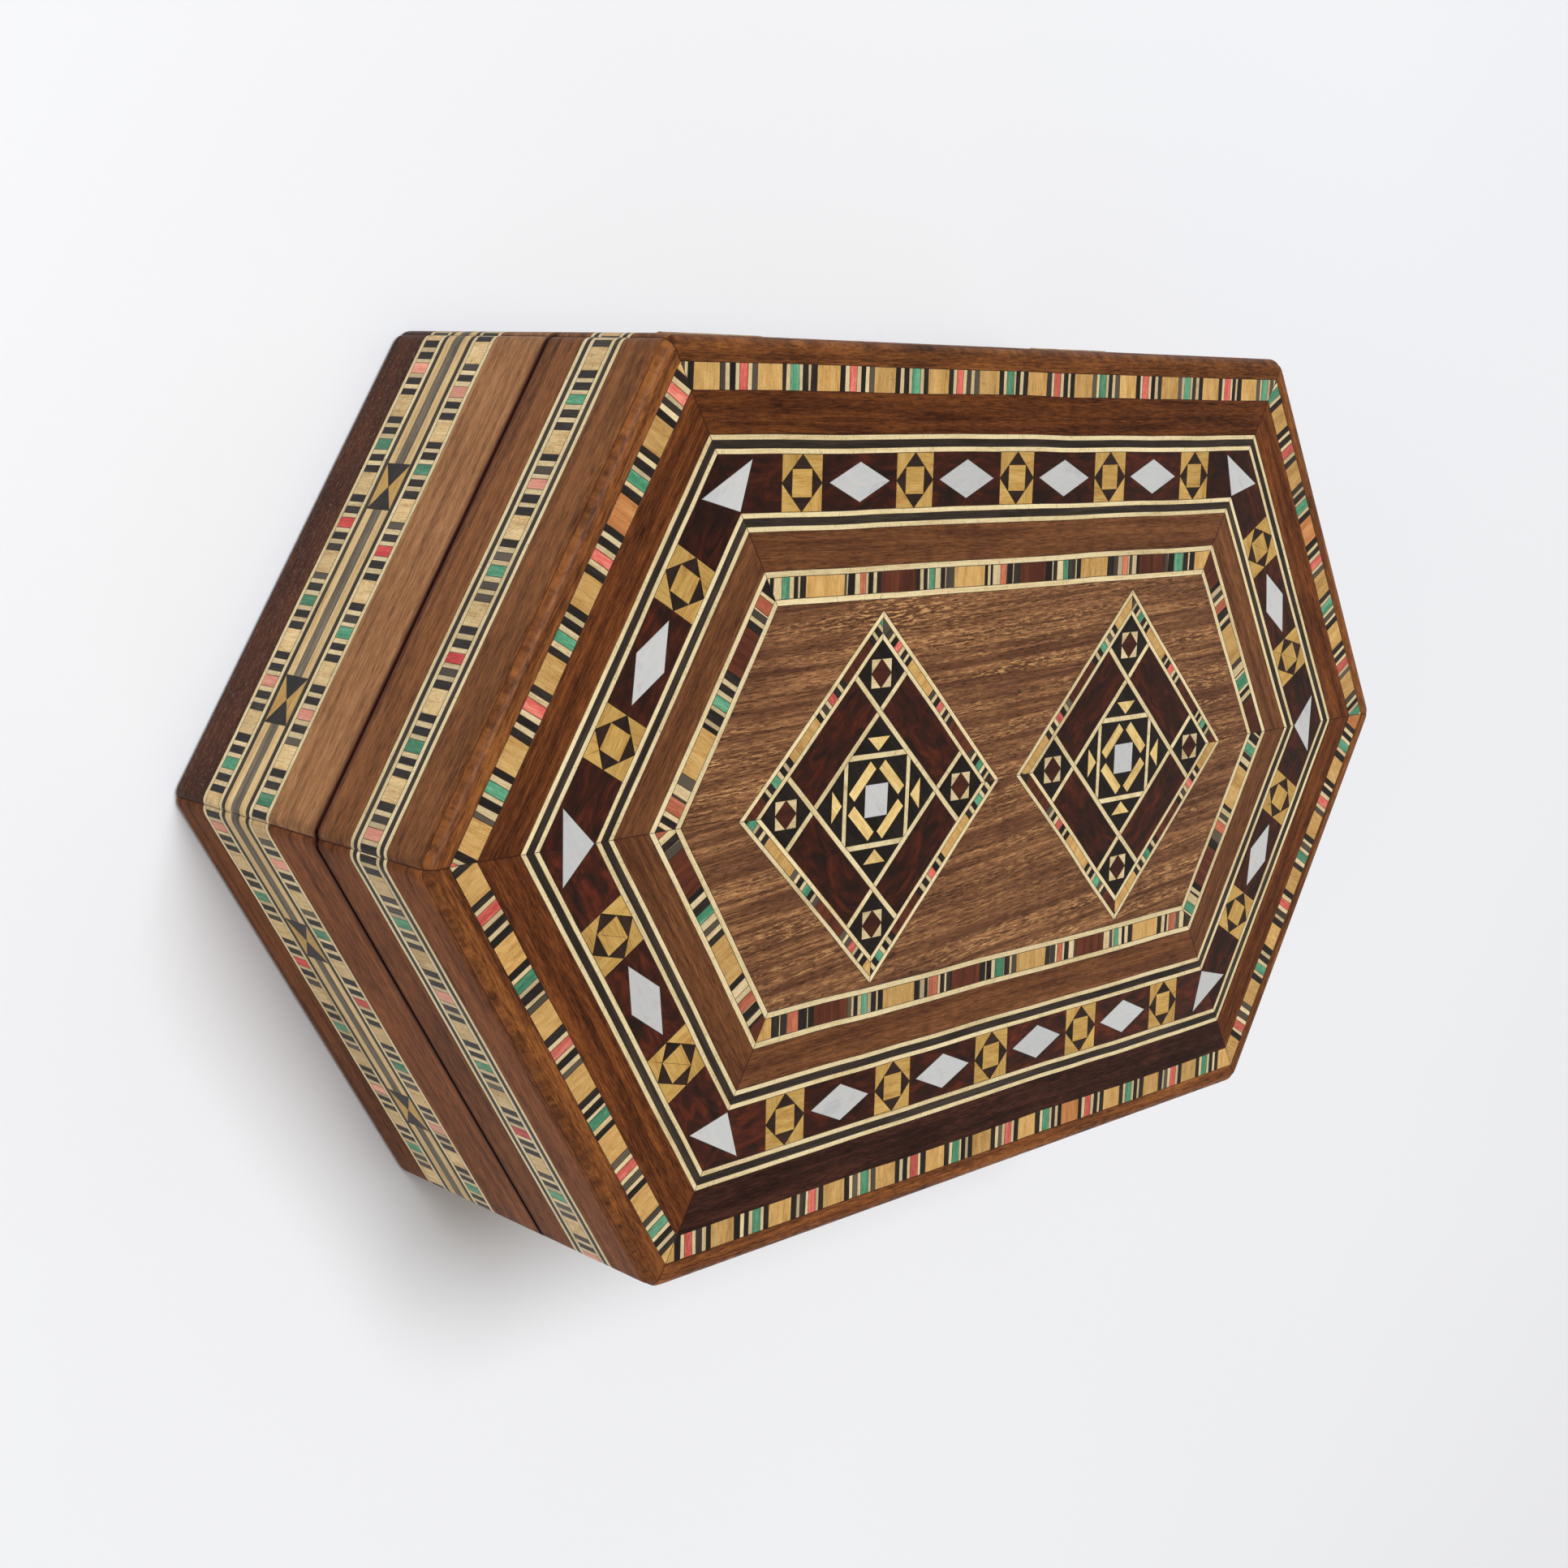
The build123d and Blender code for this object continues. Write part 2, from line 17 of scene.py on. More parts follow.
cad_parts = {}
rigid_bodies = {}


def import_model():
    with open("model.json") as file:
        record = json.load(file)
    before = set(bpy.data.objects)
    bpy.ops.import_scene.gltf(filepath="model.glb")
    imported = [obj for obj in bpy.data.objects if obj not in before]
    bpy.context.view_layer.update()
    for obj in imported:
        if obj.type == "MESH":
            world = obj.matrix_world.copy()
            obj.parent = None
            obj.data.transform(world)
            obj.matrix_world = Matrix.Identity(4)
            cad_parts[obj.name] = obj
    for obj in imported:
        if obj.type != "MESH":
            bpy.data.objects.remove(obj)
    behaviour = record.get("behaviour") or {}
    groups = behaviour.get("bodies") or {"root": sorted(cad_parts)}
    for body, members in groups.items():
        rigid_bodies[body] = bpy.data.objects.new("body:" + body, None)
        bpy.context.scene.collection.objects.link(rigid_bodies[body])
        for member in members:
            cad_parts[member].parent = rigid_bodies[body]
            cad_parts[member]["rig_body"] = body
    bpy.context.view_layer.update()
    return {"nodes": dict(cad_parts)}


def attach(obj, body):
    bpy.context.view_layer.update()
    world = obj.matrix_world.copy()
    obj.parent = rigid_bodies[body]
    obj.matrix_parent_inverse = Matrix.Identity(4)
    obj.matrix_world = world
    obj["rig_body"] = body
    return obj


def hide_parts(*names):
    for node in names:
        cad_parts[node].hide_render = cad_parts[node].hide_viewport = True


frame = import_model()
chance = random.Random(11)

# ---- the box, in millimetres ----
METRE = 1000.0
HALF_LENGTH = 100.0
HALF_LONG_SIDE = 64.8
HALF_WIDTH = 59.5
HEIGHT = 55.0
PARTING_Z = 33.0
PARTING_REACH = 0.4         # the facing edges of body and lid lie within this of the plane
INNER_INSET = 7.0           # from the outline to the inside of the walls
DIAMOND_CENTRES = (Vector((-26.4, -0.5, 0)), Vector((28.2, -0.4, 0)))
DIAMOND_HALF = 17.95        # half of a side
CORNER_TILE = 3.86
STAR_TILE = 7.2
SIDE_NAMES = ("back", "back_right", "front_right", "front", "front_left", "back_left")
EAST, NORTH, UP = Vector((1, 0, 0)), Vector((0, 1, 0)), Vector((0, 0, 1))

DECIMALS = 3                # corners that agree this closely are one
FLAT_ANGLE = math.radians(0.4)
SAW_TOLERANCE = 1e-4
SLACK = 0.1                 # leeway when it is asked whether one thing reaches another
ROW_END = 20                # edges longer than this run the length of a side

# How the pieces are made and laid by hand.
SEAM_WIDTH = 0.055          # rounded arris round every piece of inlay
SEAM_DEPTH = 0.022
LONGEST_MITRE = 4.5 * SEAM_WIDTH    # where an arris turns a corner
SHOWN_DEPTH = 0.62          # faces wholly within this of the surface get an arris
LEAST_AREA = 0.12           # blocks smaller than this get none
FLUSH = ("ground_black",)   # grounds with necks too narrow for an arris
FACING = 0.3                # how squarely a visible face looks outwards
SHARP_ANGLE = math.radians(26)
WANDER = 0.24               # slow drift of laid pieces, and the length it changes over
WANDER_SCALE = 27.0
TREMOR = 0.10
TREMOR_SCALE = 8.0
TREMOR_START = Vector((31, 17, 5))
FACE_LEVEL = 9.0            # where the drift of the face is read; each side has a level of its own
SIDE_LEVEL = 20.0
SIDE_LEVEL_STEP = 40.0
# Drift starts and is full at these distances from an edge that has to stay true.
FREE_OF_OUTLINE = (1.9, 4.4)
FREE_OF_FOOT = (2, 5.5)
FREE_OF_PARTING = (0.8, 5)
FREE_OF_TOP = (2.5, 6)
FREE_OF_CORNER = (2, 6)
CORNER_RADIUS = 3.2         # how far the upright corners are rubbed round
CORNER_RUN = 0.6 * CORNER_RADIUS    # how far along a side that reaches
CORNER_SHARES = (0.25, 0.5, 0.75, 1.0)
WEAR_REACH = 1.3
GRAIN_SHIFT = 90            # every block's grain starts somewhere else within this
MITRE_GLUE = 0.2            # dark glue on each side of a mitre in the walnut bands
STAIN_AND_GAP_SHADE_REACH = 0.7           # how far the dark band beside the parting line reaches on the sides: partly stain of the parting edges, partly painted shade of the gap
MITRED = ["walnut_" + shade
          for shade in ("red", "front", "russet", "border", "inner", "side", "light", "dark")]


class Place:
    """Where a piece lies: u runs along it, v from the outside inwards."""

    def __init__(self, origin, along, inward, index=0):
        self.origin = origin
        self.along = along
        self.inward = inward
        self.index = index

    def u(self, point):
        return (point - self.origin).dot(self.along)

    def v(self, point):
        return (point - self.origin).dot(self.inward)


def make_sides():
    corners = [(-HALF_LONG_SIDE, HALF_WIDTH), (HALF_LONG_SIDE, HALF_WIDTH), (HALF_LENGTH, 0),
               (HALF_LONG_SIDE, -HALF_WIDTH), (-HALF_LONG_SIDE, -HALF_WIDTH), (-HALF_LENGTH, 0)]
    corners = [Vector((x, y, 0)) for x, y in corners]
    sides = []
    for index, first in enumerate(corners):
        along = (corners[(index + 1) % 6] - first).normalized()
        sides.append(Place(first, along, Vector((along.y, -along.x, 0)), index))
    return sides


SIDES = make_sides()
SIDE_LENGTHS = [(SIDES[(k + 1) % 6].origin - SIDES[k].origin).length for k in range(6)]


def inset_of(point):
    """Distance inside the box's outline."""
    return min(side.v(point) for side in SIDES)


def side_place(middle):
    return min(SIDES, key=lambda side: side.v(middle))


def diamond_place(middle):
    """Axes of the diamond's side that a piece is nearest to, from the tip where the side starts."""
    number, centre = min(enumerate(DIAMOND_CENTRES), key=lambda item: (middle - item[1]).xy.length)
    north_east = Vector((1, 1, 0)).normalized()
    north_west = Vector((-1, 1, 0)).normalized()
    offset = middle - centre
    a = offset.dot(north_east)
    b = offset.dot(north_west)
    tip = Vector((DIAMOND_HALF * math.sqrt(2), 0, 0))
    if abs(b) > abs(a):
        if b > 0:
            return Place(centre - tip, north_east, -north_west, 4 * number)
        return Place(centre + tip, -north_east, north_west, 4 * number + 2)
    if a > 0:
        return Place(centre + Vector((0, tip.x, 0)), -north_west, -north_east, 4 * number + 1)
    return Place(centre - tip, -north_west, north_east, 4 * number + 3)


def upright_place(middle):
    """Axes parallel to the box, for pieces whose grain follows its length."""
    return Place(NORTH * HALF_WIDTH, EAST, -NORTH)


# ---- the CAD solids ----
def solids(node):
    """The node's closed solids, each as its own bmesh in millimetres with flat faces merged."""
    mesh = frame["nodes"][node].data
    spots = [tuple(round(c * METRE, DECIMALS) for c in vertex.co) for vertex in mesh.vertices]
    unpaired = Counter()
    faces = []
    for polygon in mesh.polygons:
        ring = [spots[i] for i in polygon.vertices]
        faces.append(ring)
        for edge in zip(ring, ring[1:] + ring[:1]):
            if edge[0] == edge[1]:
                continue
            partner = edge[::-1]
            if unpaired[partner]:
                unpaired[partner] -= 1
            else:
                unpaired[edge] += 1
        if not +unpaired:
            yield welded(faces)
            faces = []
            unpaired.clear()


def welded(faces):
    """A bmesh of the faces, with its corners joined and its flat parts whole."""
    solid = bmesh.new()
    made = {}
    for ring in faces:
        if len(set(ring)) < 3:
            continue
        for spot in ring:
            if spot not in made:
                made[spot] = solid.verts.new(spot)
        solid.faces.new([made[spot] for spot in ring])
    bmesh.ops.dissolve_limit(solid, angle_limit=FLAT_ANGLE, verts=solid.verts, edges=solid.edges)
    return solid


def middle_of(solid):
    total = Vector()
    for vertex in solid.verts:
        total += vertex.co
    return total / len(solid.verts)


def saw(solid, point, normal, faces=None):
    """Divide faces along a plane without taking anything away."""
    faces = list(solid.faces) if faces is None else faces
    geometry = set(faces)
    for face in faces:
        geometry.update(face.edges)
        geometry.update(face.verts)
    bmesh.ops.bisect_plane(solid, geom=list(geometry), plane_co=point, plane_no=normal,
                           dist=SAW_TOLERANCE)


def saw_along(solid, place, step):
    """Crosswise divisions that let a long piece bend."""
    spans = [place.u(vertex.co) for vertex in solid.verts]
    low, high = min(spans), max(spans)
    count = int((high - low) / step)
    for k in range(1, count + 1):
        at = low + (high - low) * k / (count + 1)
        saw(solid, place.origin + place.along * at, place.along)


# ---- how each kind of piece is divided ----
# A divider saws a solid and returns a function from a face's middle to (key, material, turned);
# faces with one key are one block, and turned blocks have their grain across the piece.
def whole(material):
    def divide(solid, place):
        return lambda point: (0, material, False)
    return divide


def matched(material, side, other):
    """One walnut round the whole band, but another on one side of the box."""
    def divide(solid, place):
        return whole(other if SIDE_NAMES[place.index] == side else material)(solid, place)
    return divide


# Patterns of thin layers: b black, c cream, X dyed.
LAYER_WIDTHS = {"b": 0.82, "c": 0.6, "X": 1.3}
LAYER_RANGE = (0.88, 1.12)
LAYER_MATERIALS = {"b": "ebony", "c": "cream_block"}
REVERSED_SHARE = 0.35
STRIP_MARGIN = 12           # blocks are laid this far past a strip's ends
BLOCK_LEAN = 0.6            # degrees, the spread of the joints' angles


def laminate(pattern, dye, length):
    """Thin layers of a group, as (material, width); about one in three is laid the other way round."""
    if chance.random() < REVERSED_SHARE:
        pattern = pattern[::-1]
    widths = [LAYER_WIDTHS[letter] * chance.uniform(*LAYER_RANGE) for letter in pattern]
    scale = length / sum(widths)
    return [(LAYER_MATERIALS.get(letter, dye), width * scale) for letter, width in zip(pattern, widths)]


def laid_blocks(courses, origin, length):
    """Blocks from before the strip's start to past its end: (start, end, material)."""
    blocks = []
    period = sum(course[1] for course in courses)
    at = origin - math.ceil((origin + STRIP_MARGIN) / period) * period
    while at < length + STRIP_MARGIN:
        for kind, width, pattern in courses:
            layers = laminate(pattern, kind, width) if pattern else [(kind, width)]
            for material, thickness in layers:
                blocks.append((at, at + thickness, material))
                at += thickness
    return blocks


def in_blocks(blocks, solid, place):
    """Saw a strip at its blocks' ends."""
    spans = [place.u(vertex.co) for vertex in solid.verts]
    low, high = min(spans), max(spans)
    inside = [block for block in blocks if block[1] > low + SLACK and block[0] < high - SLACK]
    for start, _, _ in inside[1:]:
        lean = math.radians(chance.gauss(0, BLOCK_LEAN))
        normal = Matrix.Rotation(lean, 3, place.along.cross(place.inward)) @ place.along
        saw(solid, place.origin + place.along * start, normal)

    def kind(point):
        u = place.u(point)
        for number, (_, end, material) in enumerate(inside):
            if u < end:
                return number, material, True
        return len(inside) - 1, inside[-1][2], True
    return kind


# Where the first yellow block's middle lies on each side, and the dyed layer that follows it.
EDGE_PITCH = 10.38
EDGE_YELLOW = 4.15
EDGE_START = ((6.1, "red"), (8.0, "red"), (2.9, "green"), (3.7, "green"), (1.2, "green"), (6.1, "green"))
EDGE_PATTERN = "bcbcXcb"
# Some yellow blocks of the edge strip are orange: (side, how many blocks from the first).
ORANGE_BLOCKS = {(5, 4), (1, 2), (2, 0), (3, 4)}


def edge_strip(solid, place):
    middle, first = EDGE_START[place.index]
    second = "green" if first == "red" else "red"
    group = EDGE_PITCH - EDGE_YELLOW
    courses = [("yellow_block", EDGE_YELLOW, None), (first, group, EDGE_PATTERN),
               ("yellow_block", EDGE_YELLOW, None), (second, group, EDGE_PATTERN)]
    start = middle - EDGE_YELLOW / 2
    blocks = laid_blocks(courses, start, SIDE_LENGTHS[place.index])
    changed = []
    for low, high, material in blocks:
        number = round(((low + high) / 2 - middle) / EDGE_PITCH)
        if material == "yellow_block" and (place.index, number) in ORANGE_BLOCKS:
            material = "orange_block"
        changed.append((low, high, material))
    return in_blocks(changed, solid, place)


INNER_YELLOW = 6.6
INNER_BROWN = 6.4
INNER_GROUP = 7.6
INNER_PATTERN = "bcbcXcbcb"
# The same for the inner strip, with both of its dyes.
INNER_START = ((27.0, "coral", "green"), (33.5, "green", "coral"), (28.4, "coral", "green"),
               (0.4, "green", "coral"), (29.9, "green", "coral"), (28.4, "green", "coral"))


def strip(courses, middle, solid, place):
    """A strip in which the first course's middle lies at the given distance along the side."""
    blocks = laid_blocks(courses, middle - courses[0][1] / 2, SIDE_LENGTHS[place.index])
    return in_blocks(blocks, solid, place)


def inner_strip(solid, place):
    middle, first, second = INNER_START[place.index]
    courses = [("yellow_block", INNER_YELLOW, None), (first, INNER_GROUP, INNER_PATTERN),
               ("brown_block", INNER_BROWN, None), (second, INNER_GROUP, INNER_PATTERN)]
    return strip(courses, middle, solid, place)


SIDE_PITCH = 11.45
SIDE_YELLOW = 3.3
SIDE_PATTERN = "bcbcXcbcb"
SIDE_DYES = ("pink", "green", "crimson", "green")
# For each strip round the sides: middle of the first yellow block and the dye after it.
SIDE_START = {
    "body_upper_mosaic": ((4.0, 0), (9.0, 1), (2.5, 3), (7.0, 2), (10.8, 0), (8.7, 0)),
    "body_lower_mosaic": ((9.5, 1), (3.0, 3), (6.0, 0), (1.5, 1), (3.2, 3), (0.6, 3)),
    "lid_side_mosaic": ((2.0, 2), (6.5, 0), (8.0, 1), (4.0, 3), (7.2, 1), (8.2, 1)),
}


def side_strip(node):
    def divide(solid, place):
        middle, first = SIDE_START[node][place.index]
        courses = []
        for k in range(4):
            courses.append(("side_yellow", SIDE_YELLOW, None))
            courses.append((SIDE_DYES[(first + k) % 4], SIDE_PITCH - SIDE_YELLOW, SIDE_PATTERN))
        return strip(courses, middle, solid, place)
    return divide


# Each side of the two diamonds, from the tip where it starts: first middle, pitch, and blocks
# (B brown, Y yellow, and groups round a G green or R red layer).
DIAMOND_STRIPS = ((1.5, 6.65, "BGYRBG"), (5.9, 6.3, "RYRBG"), (4.4, 6.85, "GYRBG"), (2.3, 6.8, "GYGBRY"),
                  (4.7, 7.1, "YRBGY"), (4.5, 6.3, "GYRBG"), (3.0, 7.1, "YRBGY"), (6.0, 7.0, "BRYGB"))
DIAMOND_PATTERN = "bcbXcbcb"


def diamond_strip(solid, place):
    first, pitch, letters = DIAMOND_STRIPS[place.index]
    at = first - pitch / 2
    blocks = [(at - pitch, at, "ebony")]
    for letter in letters + letters[-2]:
        if letter in "BY":
            layers = [({"B": "brown_block", "Y": "yellow_block"}[letter], pitch)]
        else:
            layers = laminate(DIAMOND_PATTERN, {"G": "green", "R": "red"}[letter], pitch)
        for material, width in layers:
            blocks.append((at, at + width, material))
            at += width
    return in_blocks(blocks, solid, place)


def star(solid, place):
    """A yellow square with four dark triangles round a smaller square."""
    middle = middle_of(solid)
    across = place.inward
    half = STAR_TILE / 2
    small = STAR_TILE / 4
    for a, b in ((1, 1), (1, -1), (-1, 1), (-1, -1)):
        saw(solid, middle + place.along * a * half, (place.along * a + across * b).normalized())

    def spot(point):
        return (point - middle).dot(place.along), (point - middle).dot(across)

    for direction in (place.along, -place.along, across, -across):
        inner = [face for face in solid.faces
                 if sum(map(abs, spot(face.calc_center_median()))) < half - SLACK / 2]
        saw(solid, middle + direction * small, direction, inner)

    def kind(point):
        a, b = spot(point)
        if abs(a) + abs(b) > half - SLACK / 2:
            return ("corner", a > 0, b > 0), "star_yellow", (a > 0) == (b > 0)
        if max(abs(a), abs(b)) < small:
            return "middle", "star_yellow", False
        return ("dark", a > b, a > -b), "star_dark", False
    return kind


def bowtie(solid, place):
    """Two dark triangles point to point between two yellow ones."""
    middle = middle_of(solid)
    spans = [place.u(vertex.co) - place.u(middle) for vertex in solid.verts]
    heights = [vertex.co.z - middle.z for vertex in solid.verts]
    half_u = max(spans)
    half_z = max(heights)
    for sign in (1, -1):
        normal = (place.along / half_u + UP * sign / half_z).normalized()
        saw(solid, middle, normal)

    def kind(point):
        a = place.u(point) - place.u(middle)
        b = point.z - middle.z
        if abs(a) / half_u > abs(b) / half_z:
            return ("dark", a > 0), "ground_black", False
        return ("light", b > 0), "star_yellow", False
    return kind


def corner_tile(solid, place):
    """A cream square with a dark square set on its corner."""
    middle = middle_of(solid)
    half = CORNER_TILE / 2
    for a in (1, -1):
        for b in (1, -1):
            saw(solid, middle + EAST * a * half, (EAST * a + NORTH * b).normalized())

    def kind(point):
        offset = point - middle
        if abs(offset.x) + abs(offset.y) < half:
            return "middle", "tile_brown", False
        return (offset.x > 0, offset.y > 0), "cream_block", False
    return kind


# ---- laying the pieces ----
def depth_of(point, on_lid):
    """How far a point lies under the box's outer surface."""
    edge = HEIGHT - point.z if on_lid else point.z
    return min(edge, inset_of(point))


def ease(value, low, high):
    """0 up to low, 1 from high on, and smooth between them."""
    t = min(max((value - low) / (high - low), 0.0), 1.0)
    return t * t * (3 - 2 * t)


def wander(point):
    """Slow drift plus a slight tremor."""
    slow = noise.noise_vector(point / WANDER_SCALE) * WANDER
    quick = noise.noise_vector(point / TREMOR_SCALE + TREMOR_START) * TREMOR
    return slow + quick


def rub_corner(point):
    """The six upright corners of the box are rubbed round; flat parts stay where they are."""
    first, second = sorted(SIDES, key=lambda side: side.v(point))[:2]
    short_first = CORNER_RADIUS - first.v(point)
    short_second = CORNER_RADIUS - second.v(point)
    if short_second <= 0:
        return point
    cosine = first.inward.dot(second.inward)
    a = (short_first - cosine * short_second) / (1 - cosine ** 2)
    b = (short_second - cosine * short_first) / (1 - cosine ** 2)
    if a <= 0 or b <= 0:
        return point
    to_centre = first.inward * a + second.inward * b
    return point + to_centre - to_centre.normalized() * short_first


def saw_corners(solid, place):
    """Crosswise divisions near the corners, where the piece has to follow the rubbed corner."""
    for share in CORNER_SHARES:
        for at in (CORNER_RUN * share, SIDE_LENGTHS[place.index] - CORNER_RUN * share):
            saw(solid, place.origin + place.along * at, place.along)


def laid_on_face(point, place):
    """A point of the lid's face where the hand left it; the outline stays true."""
    drift = wander(Vector((point.x, point.y, FACE_LEVEL))) * ease(inset_of(point), *FREE_OF_OUTLINE)
    return rub_corner(point + Vector((drift.x, drift.y, 0)))


def laid_on_side(point, place):
    """The same on a side: lines drift up and down, and tiles along it."""
    u = place.u(point)
    drift = wander(Vector((u, point.z, SIDE_LEVEL_STEP * place.index + SIDE_LEVEL)))
    level = ease(point.z, *FREE_OF_FOOT) * ease(abs(point.z - PARTING_Z), *FREE_OF_PARTING)
    level *= ease(HEIGHT - point.z, *FREE_OF_TOP)
    ends = ease(u, *FREE_OF_CORNER) * ease(SIDE_LENGTHS[place.index] - u, *FREE_OF_CORNER)
    return rub_corner(point + UP * drift.y * level + place.along * drift.x * level * ends)


def faces_out(face, on_lid):
    """Whether a face belongs to the visible surface rather than to a joint."""
    middle = face.calc_center_median()
    side = side_place(middle)
    if on_lid and HEIGHT - middle.z < side.v(middle):
        return face.normal.z > FACING
    return face.normal.dot(side.inward) < -FACING


def hold_corners(group, rim_faces):
    """Keep the corners of an inset face next to the corners that they came from."""
    inner = {vertex for face in group for vertex in face.verts}
    for edge in {edge for face in rim_faces for edge in face.edges}:
        ends = [vertex for vertex in edge.verts if vertex in inner]
        if len(ends) == 1 and edge.calc_length() > LONGEST_MITRE:
            outer = edge.other_vert(ends[0]).co
            ends[0].co = outer + (ends[0].co - outer).normalized() * SEAM_WIDTH


def arris(solid, faces, cell_of, flush, on_lid):
    """Round over the visible rim of every block not left flush; return the narrow faces made."""
    shown = {}
    for face in faces:
        shallow = max(depth_of(vertex.co, on_lid) for vertex in face.verts) < SHOWN_DEPTH
        if shallow and faces_out(face, on_lid):
            shown.setdefault(cell_of[face], []).append(face)
    rims = set()
    for cell, group in shown.items():
        if cell in flush or sum(face.calc_area() for face in group) < LEAST_AREA:
            continue
        made = bmesh.ops.inset_region(solid, faces=group, thickness=SEAM_WIDTH, use_even_offset=True)
        for face in made["faces"]:
            cell_of[face] = cell
            rims.add(face)
        hold_corners(group, made["faces"])
    tops = set()
    for group in shown.values():
        for face in group:
            tops.update(face.verts)
    lowered = {}
    for face in rims:
        for vertex in face.verts:
            if vertex not in tops:
                lowered.setdefault(vertex, Vector())
                lowered[vertex] += face.normal
    for vertex, normal in lowered.items():
        vertex.co -= normal.normalized() * SEAM_DEPTH
    return rims


def wear_of(point):
    """1 on the box's outer arrises, falling to 0 a few millimetres away."""
    inset = max(inset_of(point), 0)
    top = math.hypot(inset, HEIGHT - point.z)
    foot = math.hypot(inset, point.z)
    corner = max(sorted(side.v(point) for side in SIDES)[1], 0)
    return math.exp(-min(top, foot, corner) / WEAR_REACH)


def mitres(place):
    """The planes where a side's bands meet those of its two neighbours."""
    for step, at in ((-1, 0.0), (1, SIDE_LENGTHS[place.index])):
        other = SIDES[(place.index + step) % 6]
        yield place.origin + place.along * at, (place.inward - other.inward).normalized()


def glue_and_gap_shade_at(point, place):
    """1 in the glue of a mitre and at the stained parting edges, falling to 0 beside them; the band
    beside the parting line is partly that stain and partly painted shade of the gap.
    """
    gap = min((corner - point).dot(normal) for corner, normal in mitres(place))
    edge = abs(point.z - PARTING_Z) - PARTING_REACH
    return min(max(1 - gap / MITRE_GLUE, 1 - edge / STAIN_AND_GAP_SHADE_REACH, 0), 1)


def near_corner(solid):
    """Whether a piece comes near one of the box's six upright corners."""
    for vertex in solid.verts:
        near = sorted(side.v(vertex.co) for side in SIDES)
        if near[0] < CORNER_RADIUS - SLACK and near[1] < CORNER_RADIUS:
            return True
    return False


def put(name, data):
    """A new object in the scene."""
    thing = bpy.data.objects.new(name, data)
    bpy.context.scene.collection.objects.link(thing)
    return thing


def stand_in(mesh, node, slot):
    """An object for a mesh in millimetres that replaces a CAD node and rides on its body."""
    mesh.transform(Matrix.Scale(1 / METRE, 4))
    piece = put(mesh.name, mesh)
    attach(piece, frame["nodes"][node]["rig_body"])
    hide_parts(node)
    return piece


def even(place):
    return 0.5


# How a node's solids become a visible piece: how they are laid, their axes, a slot name, the
# divider, the distance between bends (0 for none), the spread of the blocks' tones, and the tone.
Skin = namedtuple("Skin", "lay find_place slot divide bend spread tones", defaults=(even,))


